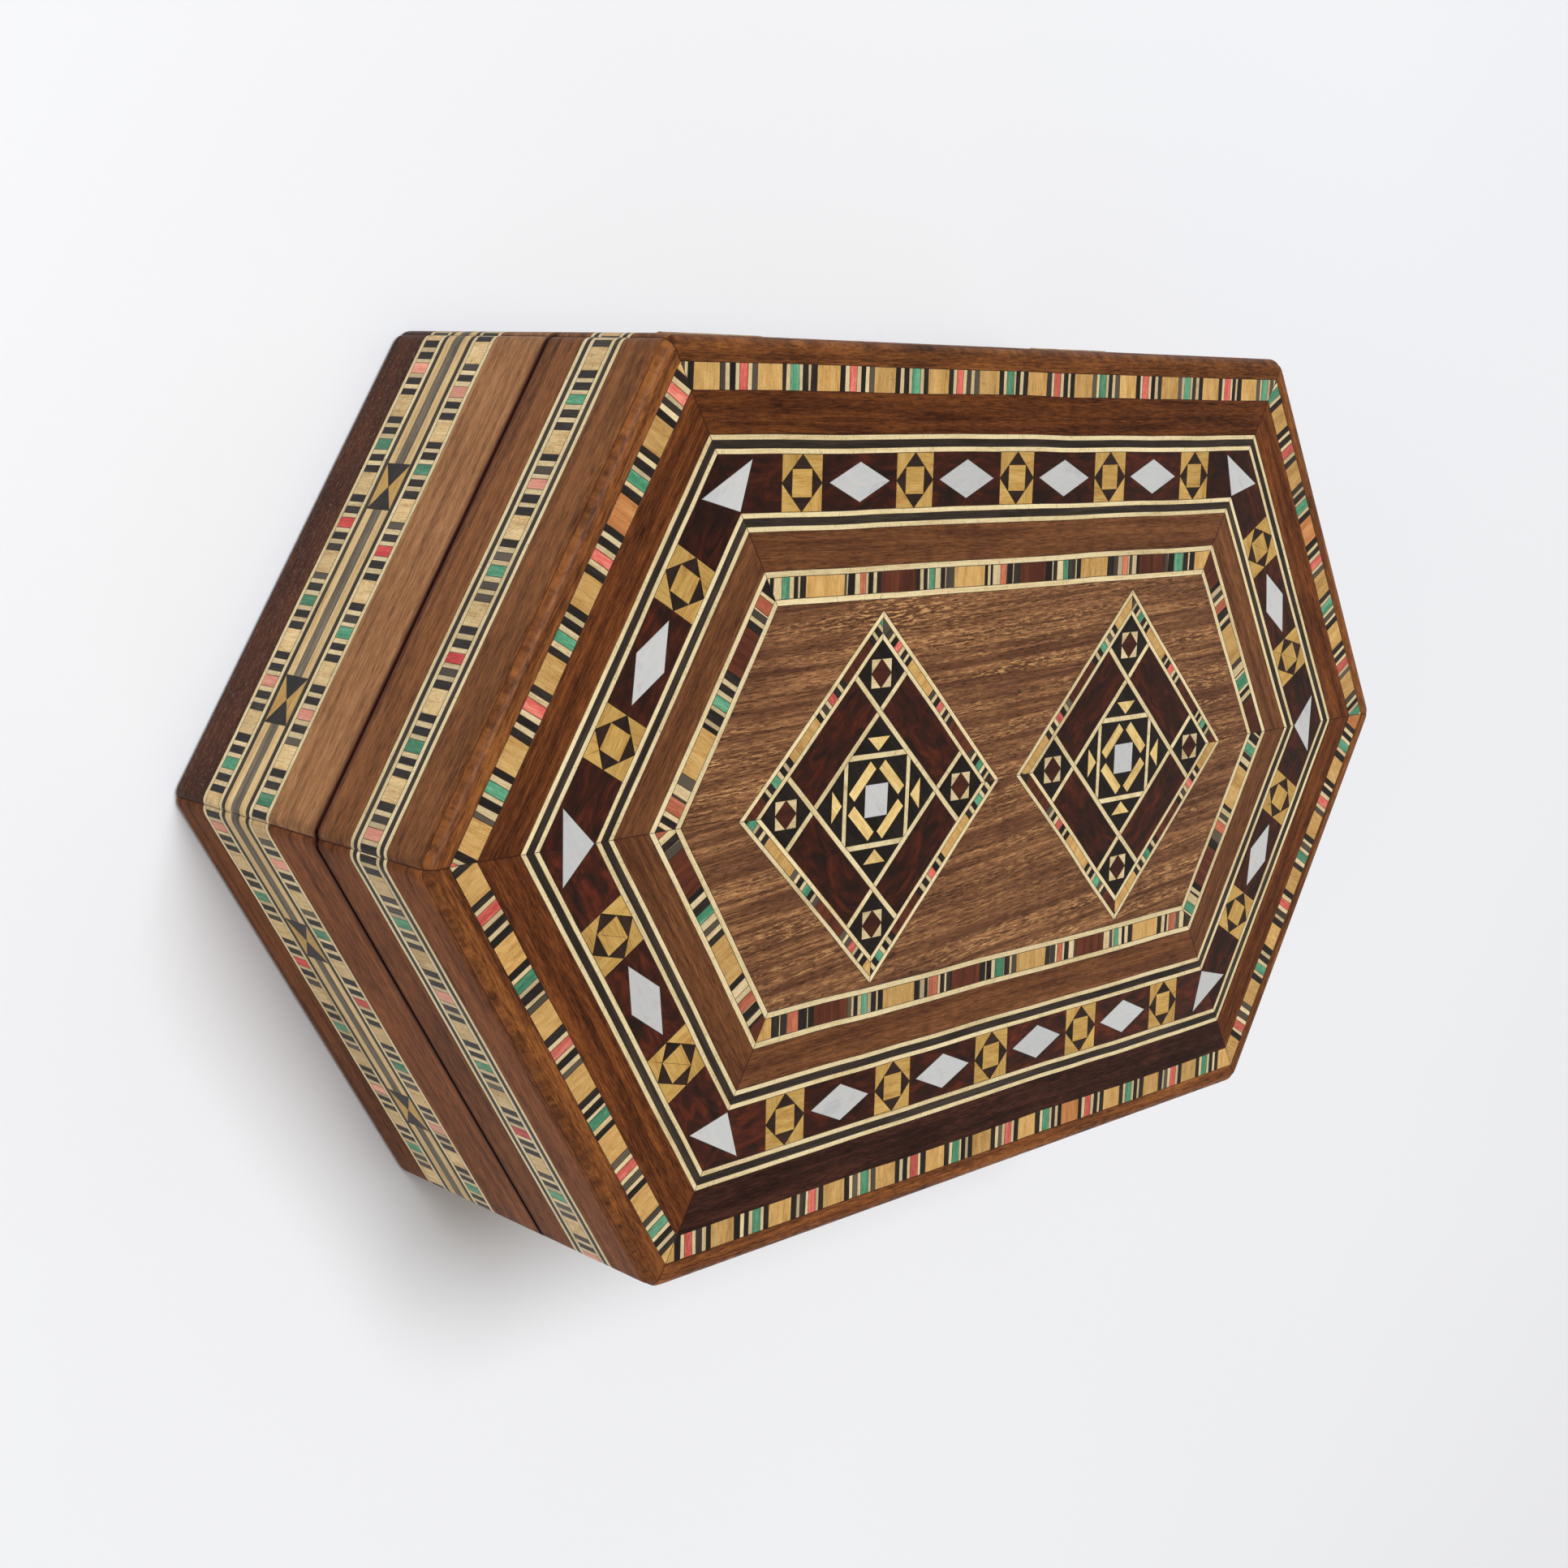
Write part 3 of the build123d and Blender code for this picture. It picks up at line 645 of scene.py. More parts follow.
class Inlay:
    """One visible piece that stands for one CAD node."""

    def __init__(self, node, skin):
        self.node = node
        self.skin = skin
        self.materials = []
        self.all = bmesh.new()
        self.on_lid = frame["nodes"][node]["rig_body"] == "lid"

    def slot_of(self, material):
        if material not in self.materials:
            self.materials.append(material)
        return self.materials.index(material)

    def saw_up(self, solid, place):
        """Divide a solid into its blocks, and where it bends or darkens; return its kind function."""
        kind = self.skin.divide(solid, place)
        if self.skin.bend:
            saw_along(solid, place, self.skin.bend)
        if near_corner(solid):
            saw_corners(solid, place)
        if kind(middle_of(solid))[1] in MITRED:
            for corner, normal in mitres(place):
                saw(solid, corner - normal * MITRE_GLUE, normal)
            # Divisions for the mitre glue and for the dark band beside the parting line, which is partly
            # stain and partly painted shade of the gap.
            for reach in (-PARTING_REACH - STAIN_AND_GAP_SHADE_REACH, PARTING_REACH + STAIN_AND_GAP_SHADE_REACH):
                saw(solid, UP * (PARTING_Z + reach), UP)
        return kind

    def sort_faces(self, solid, place, kind):
        """The blocks as (material, turned, tone, grain shifts), and the block of each face."""
        cells = {}
        cell_of = {}
        for face in list(solid.faces):
            key, material, turned = kind(face.calc_center_median())
            if key not in cells:
                tone = self.skin.tones(place) + chance.uniform(-self.skin.spread, self.skin.spread)
                cells[key] = (material, turned, min(max(tone, 0), 1), chance.uniform(0, GRAIN_SHIFT),
                              chance.uniform(0, GRAIN_SHIFT))
            cell_of[face] = key
        return cells, cell_of

    def paint(self, solid, place, cells, cell_of, rims):
        """Grain coordinates, and the colour attribute touch: tone, seam and wear; the seam value also
        holds the painted shade of the gap beside the parting line.
        """
        grain = solid.loops.layers.uv.new("grain")
        touch = solid.loops.layers.float_color.new("touch")
        for face in solid.faces:
            material, turned, tone, shift_u, shift_v = cells[cell_of[face]]
            if all(abs(vertex.co.z - PARTING_Z) < PARTING_REACH for vertex in face.verts):
                material = "stained_edge"
            face.material_index = self.slot_of(material)
            face.smooth = True
            for loop in face.loops:
                point = loop.vert.co
                # Beside the parting line this is painted shade of the gap as well as stain.
                seam_and_gap_shade = glue_and_gap_shade_at(point, place) if material in MITRED else 0.0
                seam_and_gap_shade = 1.0 if face in rims else seam_and_gap_shade
                u = place.u(point) + shift_u
                v = place.v(point) - point.z + shift_v
                loop[grain].uv = (v, u) if turned else (u, v)
                loop[touch] = (tone, seam_and_gap_shade, wear_of(point), 1)

    def add(self, solid):
        """One solid of the node, sawn, rounded, painted and laid."""
        place = self.skin.find_place(middle_of(solid))
        cells, cell_of = self.sort_faces(solid, place, self.saw_up(solid, place))
        solid.normal_update()
        flush = {key for key, cell in cells.items() if cell[0] in FLUSH}
        rims = arris(solid, list(solid.faces), cell_of, flush, self.on_lid)
        for face in solid.faces:
            if face not in cell_of:
                cell_of[face] = next(cell_of[other] for edge in face.edges for other in edge.link_faces
                                     if other in cell_of)
        self.paint(solid, place, cells, cell_of, rims)
        for vertex in solid.verts:
            vertex.co = self.skin.lay(vertex.co, place)
        for edge in solid.edges:
            between = sum(face in rims for face in edge.link_faces) == 1
            edge.smooth = not between and edge.calc_face_angle(0) <= SHARP_ANGLE
        self.join(solid)

    def join(self, solid):
        part = bpy.data.meshes.new("part")
        solid.to_mesh(part)
        solid.free()
        self.all.from_mesh(part)
        bpy.data.meshes.remove(part)

    def finish(self, suffix):
        mesh = bpy.data.meshes.new(f"{self.node}_{suffix}")
        self.all.to_mesh(mesh)
        self.all.free()
        for name in self.materials:
            mesh.materials.append(MATERIALS[name])
        stand_in(mesh, self.node, self.skin.slot)


# ---- materials ----
MATERIALS = {}              # every material by its name


def srgb(*values):
    """Linear colour from 0-255 display values."""
    linear = []
    for value in values:
        x = value / 255
        linear.append(x / 12.92 if x <= 0.04045 else ((x + 0.055) / 1.055) ** 2.4)
    return (*linear, 1.0)


class Graph:
    """Short-hand for one material's node tree."""

    def __init__(self, name, **sockets):
        material = bpy.data.materials.new(name)
        material.use_nodes = True
        MATERIALS[name] = material
        self.tree = material.node_tree
        self.surface = self.tree.nodes["Principled BSDF"]
        for socket, value in sockets.items():
            self.surface.inputs[socket.replace("_", " ")].default_value = value

    def add(self, kind, inputs=None, **settings):
        node = self.tree.nodes.new(kind)
        for key, value in settings.items():
            setattr(node, key, value)
        for key, value in (inputs or {}).items():
            self.feed(node.inputs[key], value)
        return node

    def feed(self, socket, value):
        if isinstance(value, bpy.types.NodeSocket):
            self.tree.links.new(value, socket)
        else:
            socket.default_value = value

    def grain(self):
        return self.add("ShaderNodeUVMap", uv_map="grain").outputs["UV"]

    def touch(self):
        """The tone, seam and wear of the place; the seam value also holds painted shade beside the
        parting line.
        """
        colour = self.add("ShaderNodeAttribute", attribute_name="touch").outputs["Color"]
        return self.add("ShaderNodeSeparateColor", {"Color": colour}).outputs

    def stretch(self, vector, *factors):
        return self.add("ShaderNodeVectorMath", {0: vector, 1: factors}, operation="MULTIPLY").outputs[0]

    def noise(self, vector, scale=1.0, detail=2.0, roughness=0.5, distortion=0.0):
        inputs = {"Vector": vector, "Scale": scale, "Detail": detail, "Roughness": roughness,
                  "Distortion": distortion}
        return self.add("ShaderNodeTexNoise", inputs).outputs[0]

    def strands(self, grain, along, across, *settings):
        """Noise drawn out along the grain."""
        return self.noise(self.stretch(grain, along, across, 1), 1.0, *settings)

    def math(self, operation, a, b=0.0, c=0.0):
        return self.add("ShaderNodeMath", {0: a, 1: b, 2: c}, operation=operation).outputs[0]

    def times(self, a, b):
        return self.math("MULTIPLY", a, b)

    def sum(self, *parts):
        """The sum of (value, share) pairs."""
        total = self.times(*parts[0])
        for part in parts[1:]:
            total = self.math("ADD", total, self.times(*part))
        return total

    def remap(self, value, low, high, new_low=0.0, new_high=1.0):
        inputs = {"Value": value, "From Min": low, "From Max": high, "To Min": new_low,
                  "To Max": new_high}
        return self.add("ShaderNodeMapRange", inputs).outputs[0]

    def blend(self, factor, a, b, mode="MIX"):
        node = self.add("ShaderNodeMix", data_type="RGBA", blend_type=mode)
        for socket, value in ((0, factor), (6, a), (7, b)):
            self.feed(node.inputs[socket], value)
        return node.outputs[2]

    def stain(self, colour, other, where, amount, mode="MIX"):
        """Another colour over the first, as strong as amount where the place calls for it."""
        return self.blend(self.times(where, amount), colour, other, mode)

    def toned(self, colour, tone, spread):
        """A block's own tone: 0 is darker than the colour by the spread and 1 is lighter by it."""
        value = self.math("MULTIPLY_ADD", tone, 2 * spread, 1 - spread)
        return self.add("ShaderNodeHueSaturation", {"Color": colour, "Value": value}).outputs[0]

    def ramp(self, factor, *stops):
        node = self.add("ShaderNodeValToRGB", {0: factor})
        elements = node.color_ramp.elements
        while len(elements) < len(stops):
            elements.new(0.5)
        for element, (position, colour) in zip(elements, stops):
            element.position = position
            element.color = colour
        return node.outputs[0]

    def finish(self, colour, height, distance, strength, rough=None):
        """The surface's colour, relief and, where it varies, roughness: (value, at 0.3, at 0.7)."""
        inputs = {"Height": height, "Distance": distance, "Strength": strength}
        self.feed(self.surface.inputs["Base Color"], colour)
        if rough:
            roughness = self.remap(rough[0], 0.3, 0.7, *rough[1:])
            self.feed(self.surface.inputs["Roughness"], roughness)
        self.feed(self.surface.inputs["Normal"], self.add("ShaderNodeBump", inputs).outputs[0])


GLUE = srgb(38, 24, 16)
DUST = srgb(150, 128, 108)


def wood(name, *shades, streak=(0.03, 0.7), fibre=(0.3, 7.0), figure=0.0, pores=0.5, cracks=0.0,
         flecks=0.0, spread=0.22, rough=0.42, scratches=0.0, worn=None, odd=None, glint=None,
         contrast=1.2, gloss=0.14, glue=GLUE):
    """Polished wood with its grain along the piece: soft streaks, fibres, pores and worn edges; figured
    wood also gets light dashes with a painted sheen.
    """
    g = Graph(name, Specular_IOR_Level=gloss, Coat_Weight=0.2 * gloss, Coat_Roughness=0.35)
    dark, middle, light = [srgb(*shade) for shade in shades]
    grain = g.grain()
    tone, seams_and_gap_shade, wear = g.touch()
    streaks = g.strands(grain, *streak, 3.0, 0.55, 0.6)
    fibres = g.strands(grain, *fibre, 3.0, 0.65)
    patches = g.strands(grain, 0.09, 0.22, 2.0)
    mixed = g.sum((streaks, 0.38), (fibres, 0.44), (patches, 0.18))
    reach = 0.16 / contrast
    colour = g.ramp(mixed, (0.5 - reach, dark), (0.5, middle), (0.5 + reach, light))
    if figure:
        bands = g.strands(grain, 0.01, 0.4, 4.0, 0.62, 0.2)
        threads = g.strands(grain, 0.02, 2.0, 2.0, 0.6, 0.1)
        dashes = g.strands(grain, 0.42, 3.2, 2.0, 0.75)
        painted_sheen_patches = g.strands(grain, 0.03, 0.06, 2.0, 0.5)
        colour = g.stain(colour, dark, g.remap(bands, 0.49, 0.42), 0.5 * figure)
        colour = g.stain(colour, dark, g.remap(threads, 0.55, 0.62), 0.85 * figure)
        # The light dashes are partly the figure's own light fibres and partly a painted sheen, brightest
        # in slow patches; glint is the sheen's colour.
        figure_and_painted_sheen = g.times(g.remap(bands, 0.45, 0.58), g.remap(dashes, 0.51, 0.6))
        figure_and_painted_sheen = g.times(figure_and_painted_sheen, g.remap(painted_sheen_patches, 0.4, 0.62, 0.3, 1.0))
        colour = g.stain(colour, srgb(*glint) if glint else light, figure_and_painted_sheen, figure)
    if pores:
        holes = g.strands(grain, 0.5, 4.2, 3.0, 0.7, 0.2)
        colour = g.stain(colour, dark, g.remap(holes, 0.53, 0.66), pores, "MULTIPLY")
    if flecks:
        dust = g.strands(grain, 1.6, 6.0, 2.0, 0.8, 1.0)
        colour = g.stain(colour, DUST, g.remap(dust, 0.6, 0.7), flecks)
    if scratches:
        lines = g.strands(grain, 5.0, 0.5, 2.0, 0.6, 0.5)
        colour = g.stain(colour, dark, g.remap(lines, 0.55, 0.72), scratches)
    if cracks:
        wave = g.strands(grain, 0.8, 0.35, 3.0, 0.6, 1.2)
        line = g.remap(g.math("ABSOLUTE", g.math("SUBTRACT", wave, 0.5)), 0.0, 0.012, 1.0, 0.0)
        colour = g.stain(colour, GLUE, line, cracks)
    colour = g.toned(colour, tone, spread)
    if odd:
        colour = g.blend(g.remap(tone, 0.72, 1.0, 0.0, 0.85), colour, srgb(*odd))
    rubbed = g.times(wear, g.remap(g.noise(grain, 0.7, 3.0), 0.35, 0.65))
    colour = g.stain(colour, srgb(*worn) if worn else dark, rubbed, 0.75)
    # Glue lines, and beside the parting line a band that is partly stain and partly painted shade of the
    # gap.
    colour = g.stain(colour, glue, seams_and_gap_shade, 0.8)
    relief = g.math("SUBTRACT", fibres, g.times(seams_and_gap_shade, 0.3))
    g.finish(colour, relief, 0.00003, 0.55, (fibres, rough + 0.08, rough - 0.06))


def tortoise(name):
    """Dark figured rosewood, mottled red-brown and black under a high polish."""
    g = Graph(name, Specular_IOR_Level=0.16, Coat_Weight=0.06, Coat_Roughness=0.2)
    grain = g.grain()
    tone, seams_and_gap_shade, _ = g.touch()
    mottle = g.strands(grain, 0.2, 0.42, 4.0, 0.6, 1.2)
    veins = g.strands(grain, 0.14, 0.9, 3.0, 0.6, 1.4)
    fibres = g.strands(grain, 0.6, 6.0, 2.0, 0.6)
    mixed = g.sum((mottle, 0.7), (veins, 0.22), (fibres, 0.08))
    colour = g.ramp(mixed, (0.38, srgb(27, 15, 11)), (0.52, srgb(52, 21, 12)), (0.68, srgb(84, 34, 17)))
    colour = g.stain(g.toned(colour, tone, 0.55), srgb(22, 14, 10), seams_and_gap_shade, 0.8)
    g.finish(colour, fibres, 0.00002, 0.4, (fibres, 0.42, 0.3))


def pearl(name):
    """Mother-of-pearl: cloudy grey-white layers with a faint play of colour."""
    g = Graph(name, Coat_Weight=0.6, Coat_Roughness=0.06, Thin_Film_Thickness=420, Thin_Film_IOR=1.45)
    grain = g.grain()
    tone, seams_and_gap_shade, _ = g.touch()
    clouds = g.strands(grain, 0.16, 0.3, 3.0, 0.55, 1.6)
    layers = g.strands(grain, 0.2, 1.6, 3.0, 0.6, 1.4)
    colour = g.ramp(clouds, (0.3, srgb(176, 177, 180)), (0.45, srgb(190, 188, 187)),
                    (0.55, srgb(183, 187, 188)), (0.7, srgb(196, 191, 188)))
    colour = g.stain(colour, srgb(204, 202, 201), g.remap(layers, 0.42, 0.66), 0.3)
    colour = g.stain(g.toned(colour, tone, 0.08), srgb(60, 48, 38), seams_and_gap_shade, 0.55)
    g.finish(colour, layers, 0.00002, 0.4, (layers, 0.34, 0.18))


def velvet(name):
    """Short wine-red pile that brightens at a glancing angle."""
    g = Graph(name, Roughness=0.9, Sheen_Weight=0.8, Sheen_Roughness=0.35, Sheen_Tint=srgb(196, 92, 84))
    place = g.add("ShaderNodeTexCoord").outputs["Object"]
    pile = g.noise(place, 5200.0, 2.0, 0.6)
    brushed = g.noise(g.stretch(place, 22, 60, 40), 1.0, 3.0, 0.55, 1.0)
    colour = g.ramp(g.sum((brushed, 0.7), (pile, 0.3)), (0.3, srgb(70, 10, 16)), (0.5, srgb(88, 14, 20)),
                    (0.7, srgb(106, 20, 26)))
    g.finish(colour, pile, 0.00012, 0.7)


def brass(name, base, dull):
    """Brass gone dull in patches, with fine draw lines."""
    g = Graph(name, Metallic=1.0)
    place = g.add("ShaderNodeTexCoord").outputs["Object"]
    tarnish = g.noise(place, 320.0, 4.0, 0.6, 0.8)
    lines = g.noise(g.stretch(place, 300, 9000, 9000), 1.0, 1.0)
    colour = g.ramp(tarnish, (0.36, dull), (0.6, base))
    g.finish(colour, lines, 0.00002, 0.3, (tarnish, 0.52, 0.28))


def table_top(name):
    """Pale seamless paper."""
    g = Graph(name)
    place = g.add("ShaderNodeTexCoord").outputs["Object"]
    fibre = g.noise(place, 900.0, 3.0, 0.6)
    cloud = g.noise(place, 3.0, 2.0)
    colour = g.ramp(cloud, (0.3, srgb(230, 232, 237)), (0.7, srgb(234, 236, 240)))
    g.finish(colour, fibre, 0.00004, 0.15, (fibre, 0.62, 0.52))


# Each wood with its dark, middle and light shade.
# The walnut's glue colour also paints the shade of the gap beside the parting line.
WALNUT = {"streak": (0.03, 0.8), "fibre": (0.42, 4.6), "contrast": 1.6, "worn": (46, 29, 20),
          "glue": srgb(54, 24, 15)}
# The field's glint colour is a painted sheen on its figure.
wood("walnut_field", (80, 49, 31), (116, 76, 50), (153, 107, 69),
     figure=0.95, pores=0.8, spread=0.2, glint=(198, 150, 98), **WALNUT)
wood("walnut_inner", (72, 39, 22), (101, 61, 34), (128, 81, 48), figure=0.3, spread=0.2, **WALNUT)
wood("walnut_red", (56, 27, 13), (92, 49, 24), (122, 69, 32),
     pores=0.55, scratches=0.25, spread=0.4, gloss=0.07, **WALNUT)
wood("walnut_border", (67, 37, 19), (109, 63, 33), (143, 88, 43),
     pores=0.55, scratches=0.25, spread=0.4, gloss=0.07, **WALNUT)
wood("walnut_front", (34, 18, 14), (52, 29, 23), (76, 44, 33), gloss=0.07, **WALNUT)
wood("walnut_dark", (42, 17, 8), (70, 35, 18), (93, 51, 30),
     pores=0.6, flecks=0.8, spread=0.3, gloss=0.06, **WALNUT)
wood("walnut_side", (78, 45, 24), (115, 71, 39), (139, 90, 52), spread=0.3, gloss=0.06, **WALNUT)
# The front-left side's walnut: partly the veneers' own reddish colour and partly painted light, tuned to
# the light that reaches that side.
wood("walnut_russet", (80, 43, 21), (118, 68, 35), (143, 86, 47), spread=0.35, gloss=0.03, **WALNUT)
wood("walnut_light", (107, 71, 42), (143, 99, 62), (168, 121, 81),
     pores=0.45, spread=0.3, gloss=0.06, **WALNUT)
wood("carcass", (120, 84, 52), (158, 118, 78), (186, 148, 104),
     pores=0.3, spread=0.2, rough=0.6, streak=(0.02, 0.4), fibre=(0.2, 4.0))

CREAM = {"pores": 0.0, "worn": (150, 128, 92)}
wood("cream_line", (182, 158, 112), (216, 197, 152), (230, 214, 174),
     cracks=0.5, spread=0.1, fibre=(0.4, 9.0), **CREAM)
wood("cream_block", (170, 146, 104), (206, 184, 140), (222, 204, 166),
     cracks=0.3, spread=0.2, fibre=(0.8, 6.0), odd=(150, 132, 104), **CREAM)
wood("yellow_strip", (176, 142, 92), (204, 174, 122), (220, 196, 148),
     pores=0.2, cracks=0.25, spread=0.15, worn=(150, 118, 72))

YELLOW = {"pores": 0.2, "streak": (0.12, 0.9), "fibre": (0.5, 5.0)}
wood("side_yellow", (172, 138, 88), (206, 176, 124), (222, 198, 152),
     cracks=0.6, spread=0.12, worn=(140, 106, 62), **YELLOW)
wood("yellow_block", (160, 118, 61), (190, 149, 88), (208, 171, 109),
     cracks=0.3, spread=0.14, worn=(140, 106, 62), **YELLOW)
wood("pale_wood", (184, 150, 88), (216, 184, 118), (232, 208, 150), cracks=0.3, spread=0.12, **YELLOW)
wood("star_yellow", (154, 113, 56), (183, 145, 78), (198, 164, 98), cracks=0.2, spread=0.12, **YELLOW)

wood("black_line", (26, 21, 17), (46, 38, 31), (70, 60, 49), pores=0.3, spread=0.15, fibre=(0.25, 8.0))
wood("dark_strip", (52, 46, 38), (100, 90, 75), (140, 128, 106),
     pores=0.4, spread=0.2, streak=(0.03, 2.6), fibre=(0.12, 9.0))
wood("ebony", (22, 19, 16), (36, 31, 27), (58, 50, 44),
     pores=0.2, spread=0.45, fibre=(0.6, 6.0), odd=(98, 88, 74))
wood("ground_black", (16, 13, 11), (27, 22, 19), (40, 33, 28),
     pores=0.2, spread=0.2, fibre=(0.6, 6.0), rough=0.36)
wood("star_dark", (26, 18, 14), (42, 28, 22), (60, 40, 30), pores=0.2, spread=0.3)
wood("brown_block", (54, 24, 15), (80, 39, 25), (102, 54, 34), pores=0.3, spread=0.25)
wood("tile_brown", (40, 17, 12), (62, 28, 19), (82, 38, 24), pores=0.3, spread=0.2)
wood("stained_edge", (44, 17, 11), (66, 27, 17), (86, 40, 25), pores=0.3, spread=0.2, rough=0.6)
wood("orange_block", (150, 92, 48), (180, 118, 68), (200, 146, 88), pores=0.2, cracks=0.2, spread=0.15)

DYED = {"pores": 0.0, "cracks": 0.2, "fibre": (0.7, 5.0)}
wood("red", (162, 62, 57), (198, 93, 82), (219, 140, 119), spread=0.2, **DYED)
wood("crimson", (158, 44, 44), (194, 62, 60), (214, 104, 94), spread=0.2, **DYED)
wood("pink", (192, 112, 94), (216, 144, 122), (228, 168, 144), spread=0.2, **DYED)
wood("coral", (146, 74, 50), (176, 96, 70), (200, 130, 100), spread=0.2, **DYED)
wood("green", (46, 104, 78), (74, 134, 102), (112, 162, 130), spread=0.25, **DYED)

tortoise("rosewood")
pearl("pearl")
velvet("velvet")
brass("hinge_brass", srgb(196, 160, 92), srgb(120, 92, 48))
table_top("paper")


# ---- the inlaid skin ----
def by_side(*values):
    """A tone for each side of the box, in the order of SIDE_NAMES."""
    return lambda place: values[place.index]


def leaning_place(degrees):
    """Grain that leans off the box's long axis."""
    turn = Matrix.Rotation(math.radians(degrees), 3, "Z")
    return lambda middle: Place(Vector(), turn @ EAST, turn @ NORTH)


def group(lay, find_place, rows):
    """Skins of nodes laid alike, from the other fields of Skin."""
    return {node: Skin(lay, find_place, *row) for node, row in rows.items()}


SKINS = group(laid_on_face, side_place, {
    "lid_border_band": ("walnut_red", whole("walnut_border"), 5, 0,
                        by_side(0.4, 0.6, 0.55, 0.75, 0.6, 0.6)),
    "lid_edge_mosaic": ("mosaic_strip", edge_strip, 5, 0.5),
    "lid_outer_band": ("walnut_red", matched("walnut_red", "front", "walnut_front"), 5, 0,
                       by_side(0.3, 0.6, 0.5, 0.25, 0.6, 0.5)),
    "lid_face_cream_lines": ("cream_wood", whole("cream_line"), 4, 0.4),
    "lid_face_black_lines": ("ebony", whole("black_line"), 4, 0.3),
    "star_band_ground": ("rosewood", whole("rosewood"), 5, 0.3,
                         by_side(0.42, 0.35, 0.5, 0.72, 0.62, 0.45)),
    "star_tiles": ("star_tile", star, 0, 0.4),
    "pearl_rhombi": ("pearl", whole("pearl"), 0, 0.5),
    "pearl_triangles": ("pearl", whole("pearl"), 0, 0.5),
    "lid_inner_band": ("walnut_field", whole("walnut_inner"), 5, 0,
                       by_side(0.5, 0.6, 0.45, 0.6, 0.4, 0.5)),
    "lid_inner_mosaic": ("mosaic_strip", inner_strip, 5, 0.5),
})
# The field's two sheets lean a little differently.
FIELD = ("walnut_field", whole("walnut_field"), 6, 0)
SKINS.update(group(laid_on_face, leaning_place(2.5), {"field_back_panel": FIELD}))
SKINS.update(group(laid_on_face, leaning_place(5), {"field_front_panel": FIELD}))
SKINS.update(group(laid_on_face, diamond_place, {
    "diamond_border_lines": ("cream_wood", whole("cream_line"), 4, 0.4),
    "diamond_mosaic": ("mosaic_strip", diamond_strip, 4, 0.5),
    "diamond_lattice_lines": ("cream_wood", whole("cream_line"), 4, 0.4),
    "diamond_corner_squares": ("ebony", whole("ground_black"), 0, 0.4),
}))
SKINS["diamond_corner_tiles"] = Skin(laid_on_face, upright_place, "star_tile", corner_tile, 0, 0.4)
SKINS.update(group(laid_on_face, diamond_place, {
    "diamond_panels": ("rosewood", whole("rosewood"), 0, 0.12),
    "diamond_centre_ground": ("ebony", whole("ground_black"), 0, 0.3),
    "diamond_triangles": ("yellow_wood", whole("pale_wood"), 0, 0.4),
    "diamond_bars": ("yellow_wood", whole("pale_wood"), 0, 0.4),
    "pearl_squares": ("pearl", whole("pearl"), 0, 0.3),
}))
# On the front-left side the bands take walnut_russet and some lower tones: partly the veneers' own
# colour, partly painted light and shade tuned to the light that reaches that side.
SKINS.update(group(laid_on_side, side_place, {
    "lid_lower_band": ("walnut_dark", matched("walnut_side", "front_left", "walnut_russet"), 6, 0.1,
                       by_side(0.5, 0.6, 0.4, 0.5, 0.3, 0.5)),
    "lid_upper_band": ("walnut_dark", matched("walnut_side", "front_left", "walnut_russet"), 6, 0.1),
    "lid_side_cream_lines": ("cream_wood", whole("cream_line"), 5, 0.3),
    "lid_side_black_lines": ("ebony", whole("black_line"), 5, 0.3),
    "lid_side_mosaic": ("mosaic_strip", side_strip("lid_side_mosaic"), 5, 0.5),
    "body_base_band": ("walnut_dark", matched("walnut_dark", "front_left", "walnut_russet"), 6, 0.1,
                       by_side(0.5, 0.5, 0.5, 0.5, 0.3, 0.5)),
    "body_top_band": ("walnut_light", matched("walnut_light", "front_left", "walnut_russet"), 6, 0,
                      by_side(0.5, 0.5, 0.4, 0.4, 0.5, 0.6)),
    "body_cream_lines": ("cream_wood", whole("cream_line"), 5, 0.3),
    "body_black_lines": ("ebony", whole("black_line"), 5, 0.3),
    "body_lower_mosaic": ("mosaic_strip", side_strip("body_lower_mosaic"), 5, 0.5),
    "body_upper_mosaic": ("mosaic_strip", side_strip("body_upper_mosaic"), 5, 0.5),
    "body_yellow_strips": ("yellow_wood", whole("yellow_strip"), 5, 0.3),
    "body_dark_strips": ("ebony", whole("dark_strip"), 5, 0.3),
    "body_bowtie_tiles": ("star_tile", bowtie, 0, 0.4),
}))


def lay_skin():
    for node, skin in SKINS.items():
        inlay = Inlay(node, skin)
        for solid in solids(node):
            inlay.add(solid)
        inlay.finish("inlay")


# ---- the boards under it, and the linings ----
RIM_ROUNDING = 0.35
SQUARE_EDGE = 1.0           # radians, and more where two faces meet squarely
PAD_STEP = 3                # the velvet's vertices are this far apart, and up and down the walls
WALL_STEP = 4               # along the walls
PAD_FACE = 0.9              # deeper than this a wall pad's vertices belong to its visible face
PAD_FOLD = 0.4              # rounding where the velvet is folded over its card
LEVEL = 0.01                # vertices this close to a level lie on it
CROWN, CROWN_REACH = 0.75, 5
TUCK, TUCK_REACH = 0.5, 0.8
RIPPLES = ((0.35, 22), (0.1, 7))    # height and length
RIPPLE_START = (0, 8)       # ripples fade in over this distance from a pad's edge
BULGE, SWELL, SWELL_LENGTH = 0.35, 0.3, 14


def as_cut(point, place):
    return rub_corner(point)


def round_over(solid, edges, width):
    bmesh.ops.bevel(solid, geom=edges, offset=width, segments=3, profile=0.5, affect="EDGES")


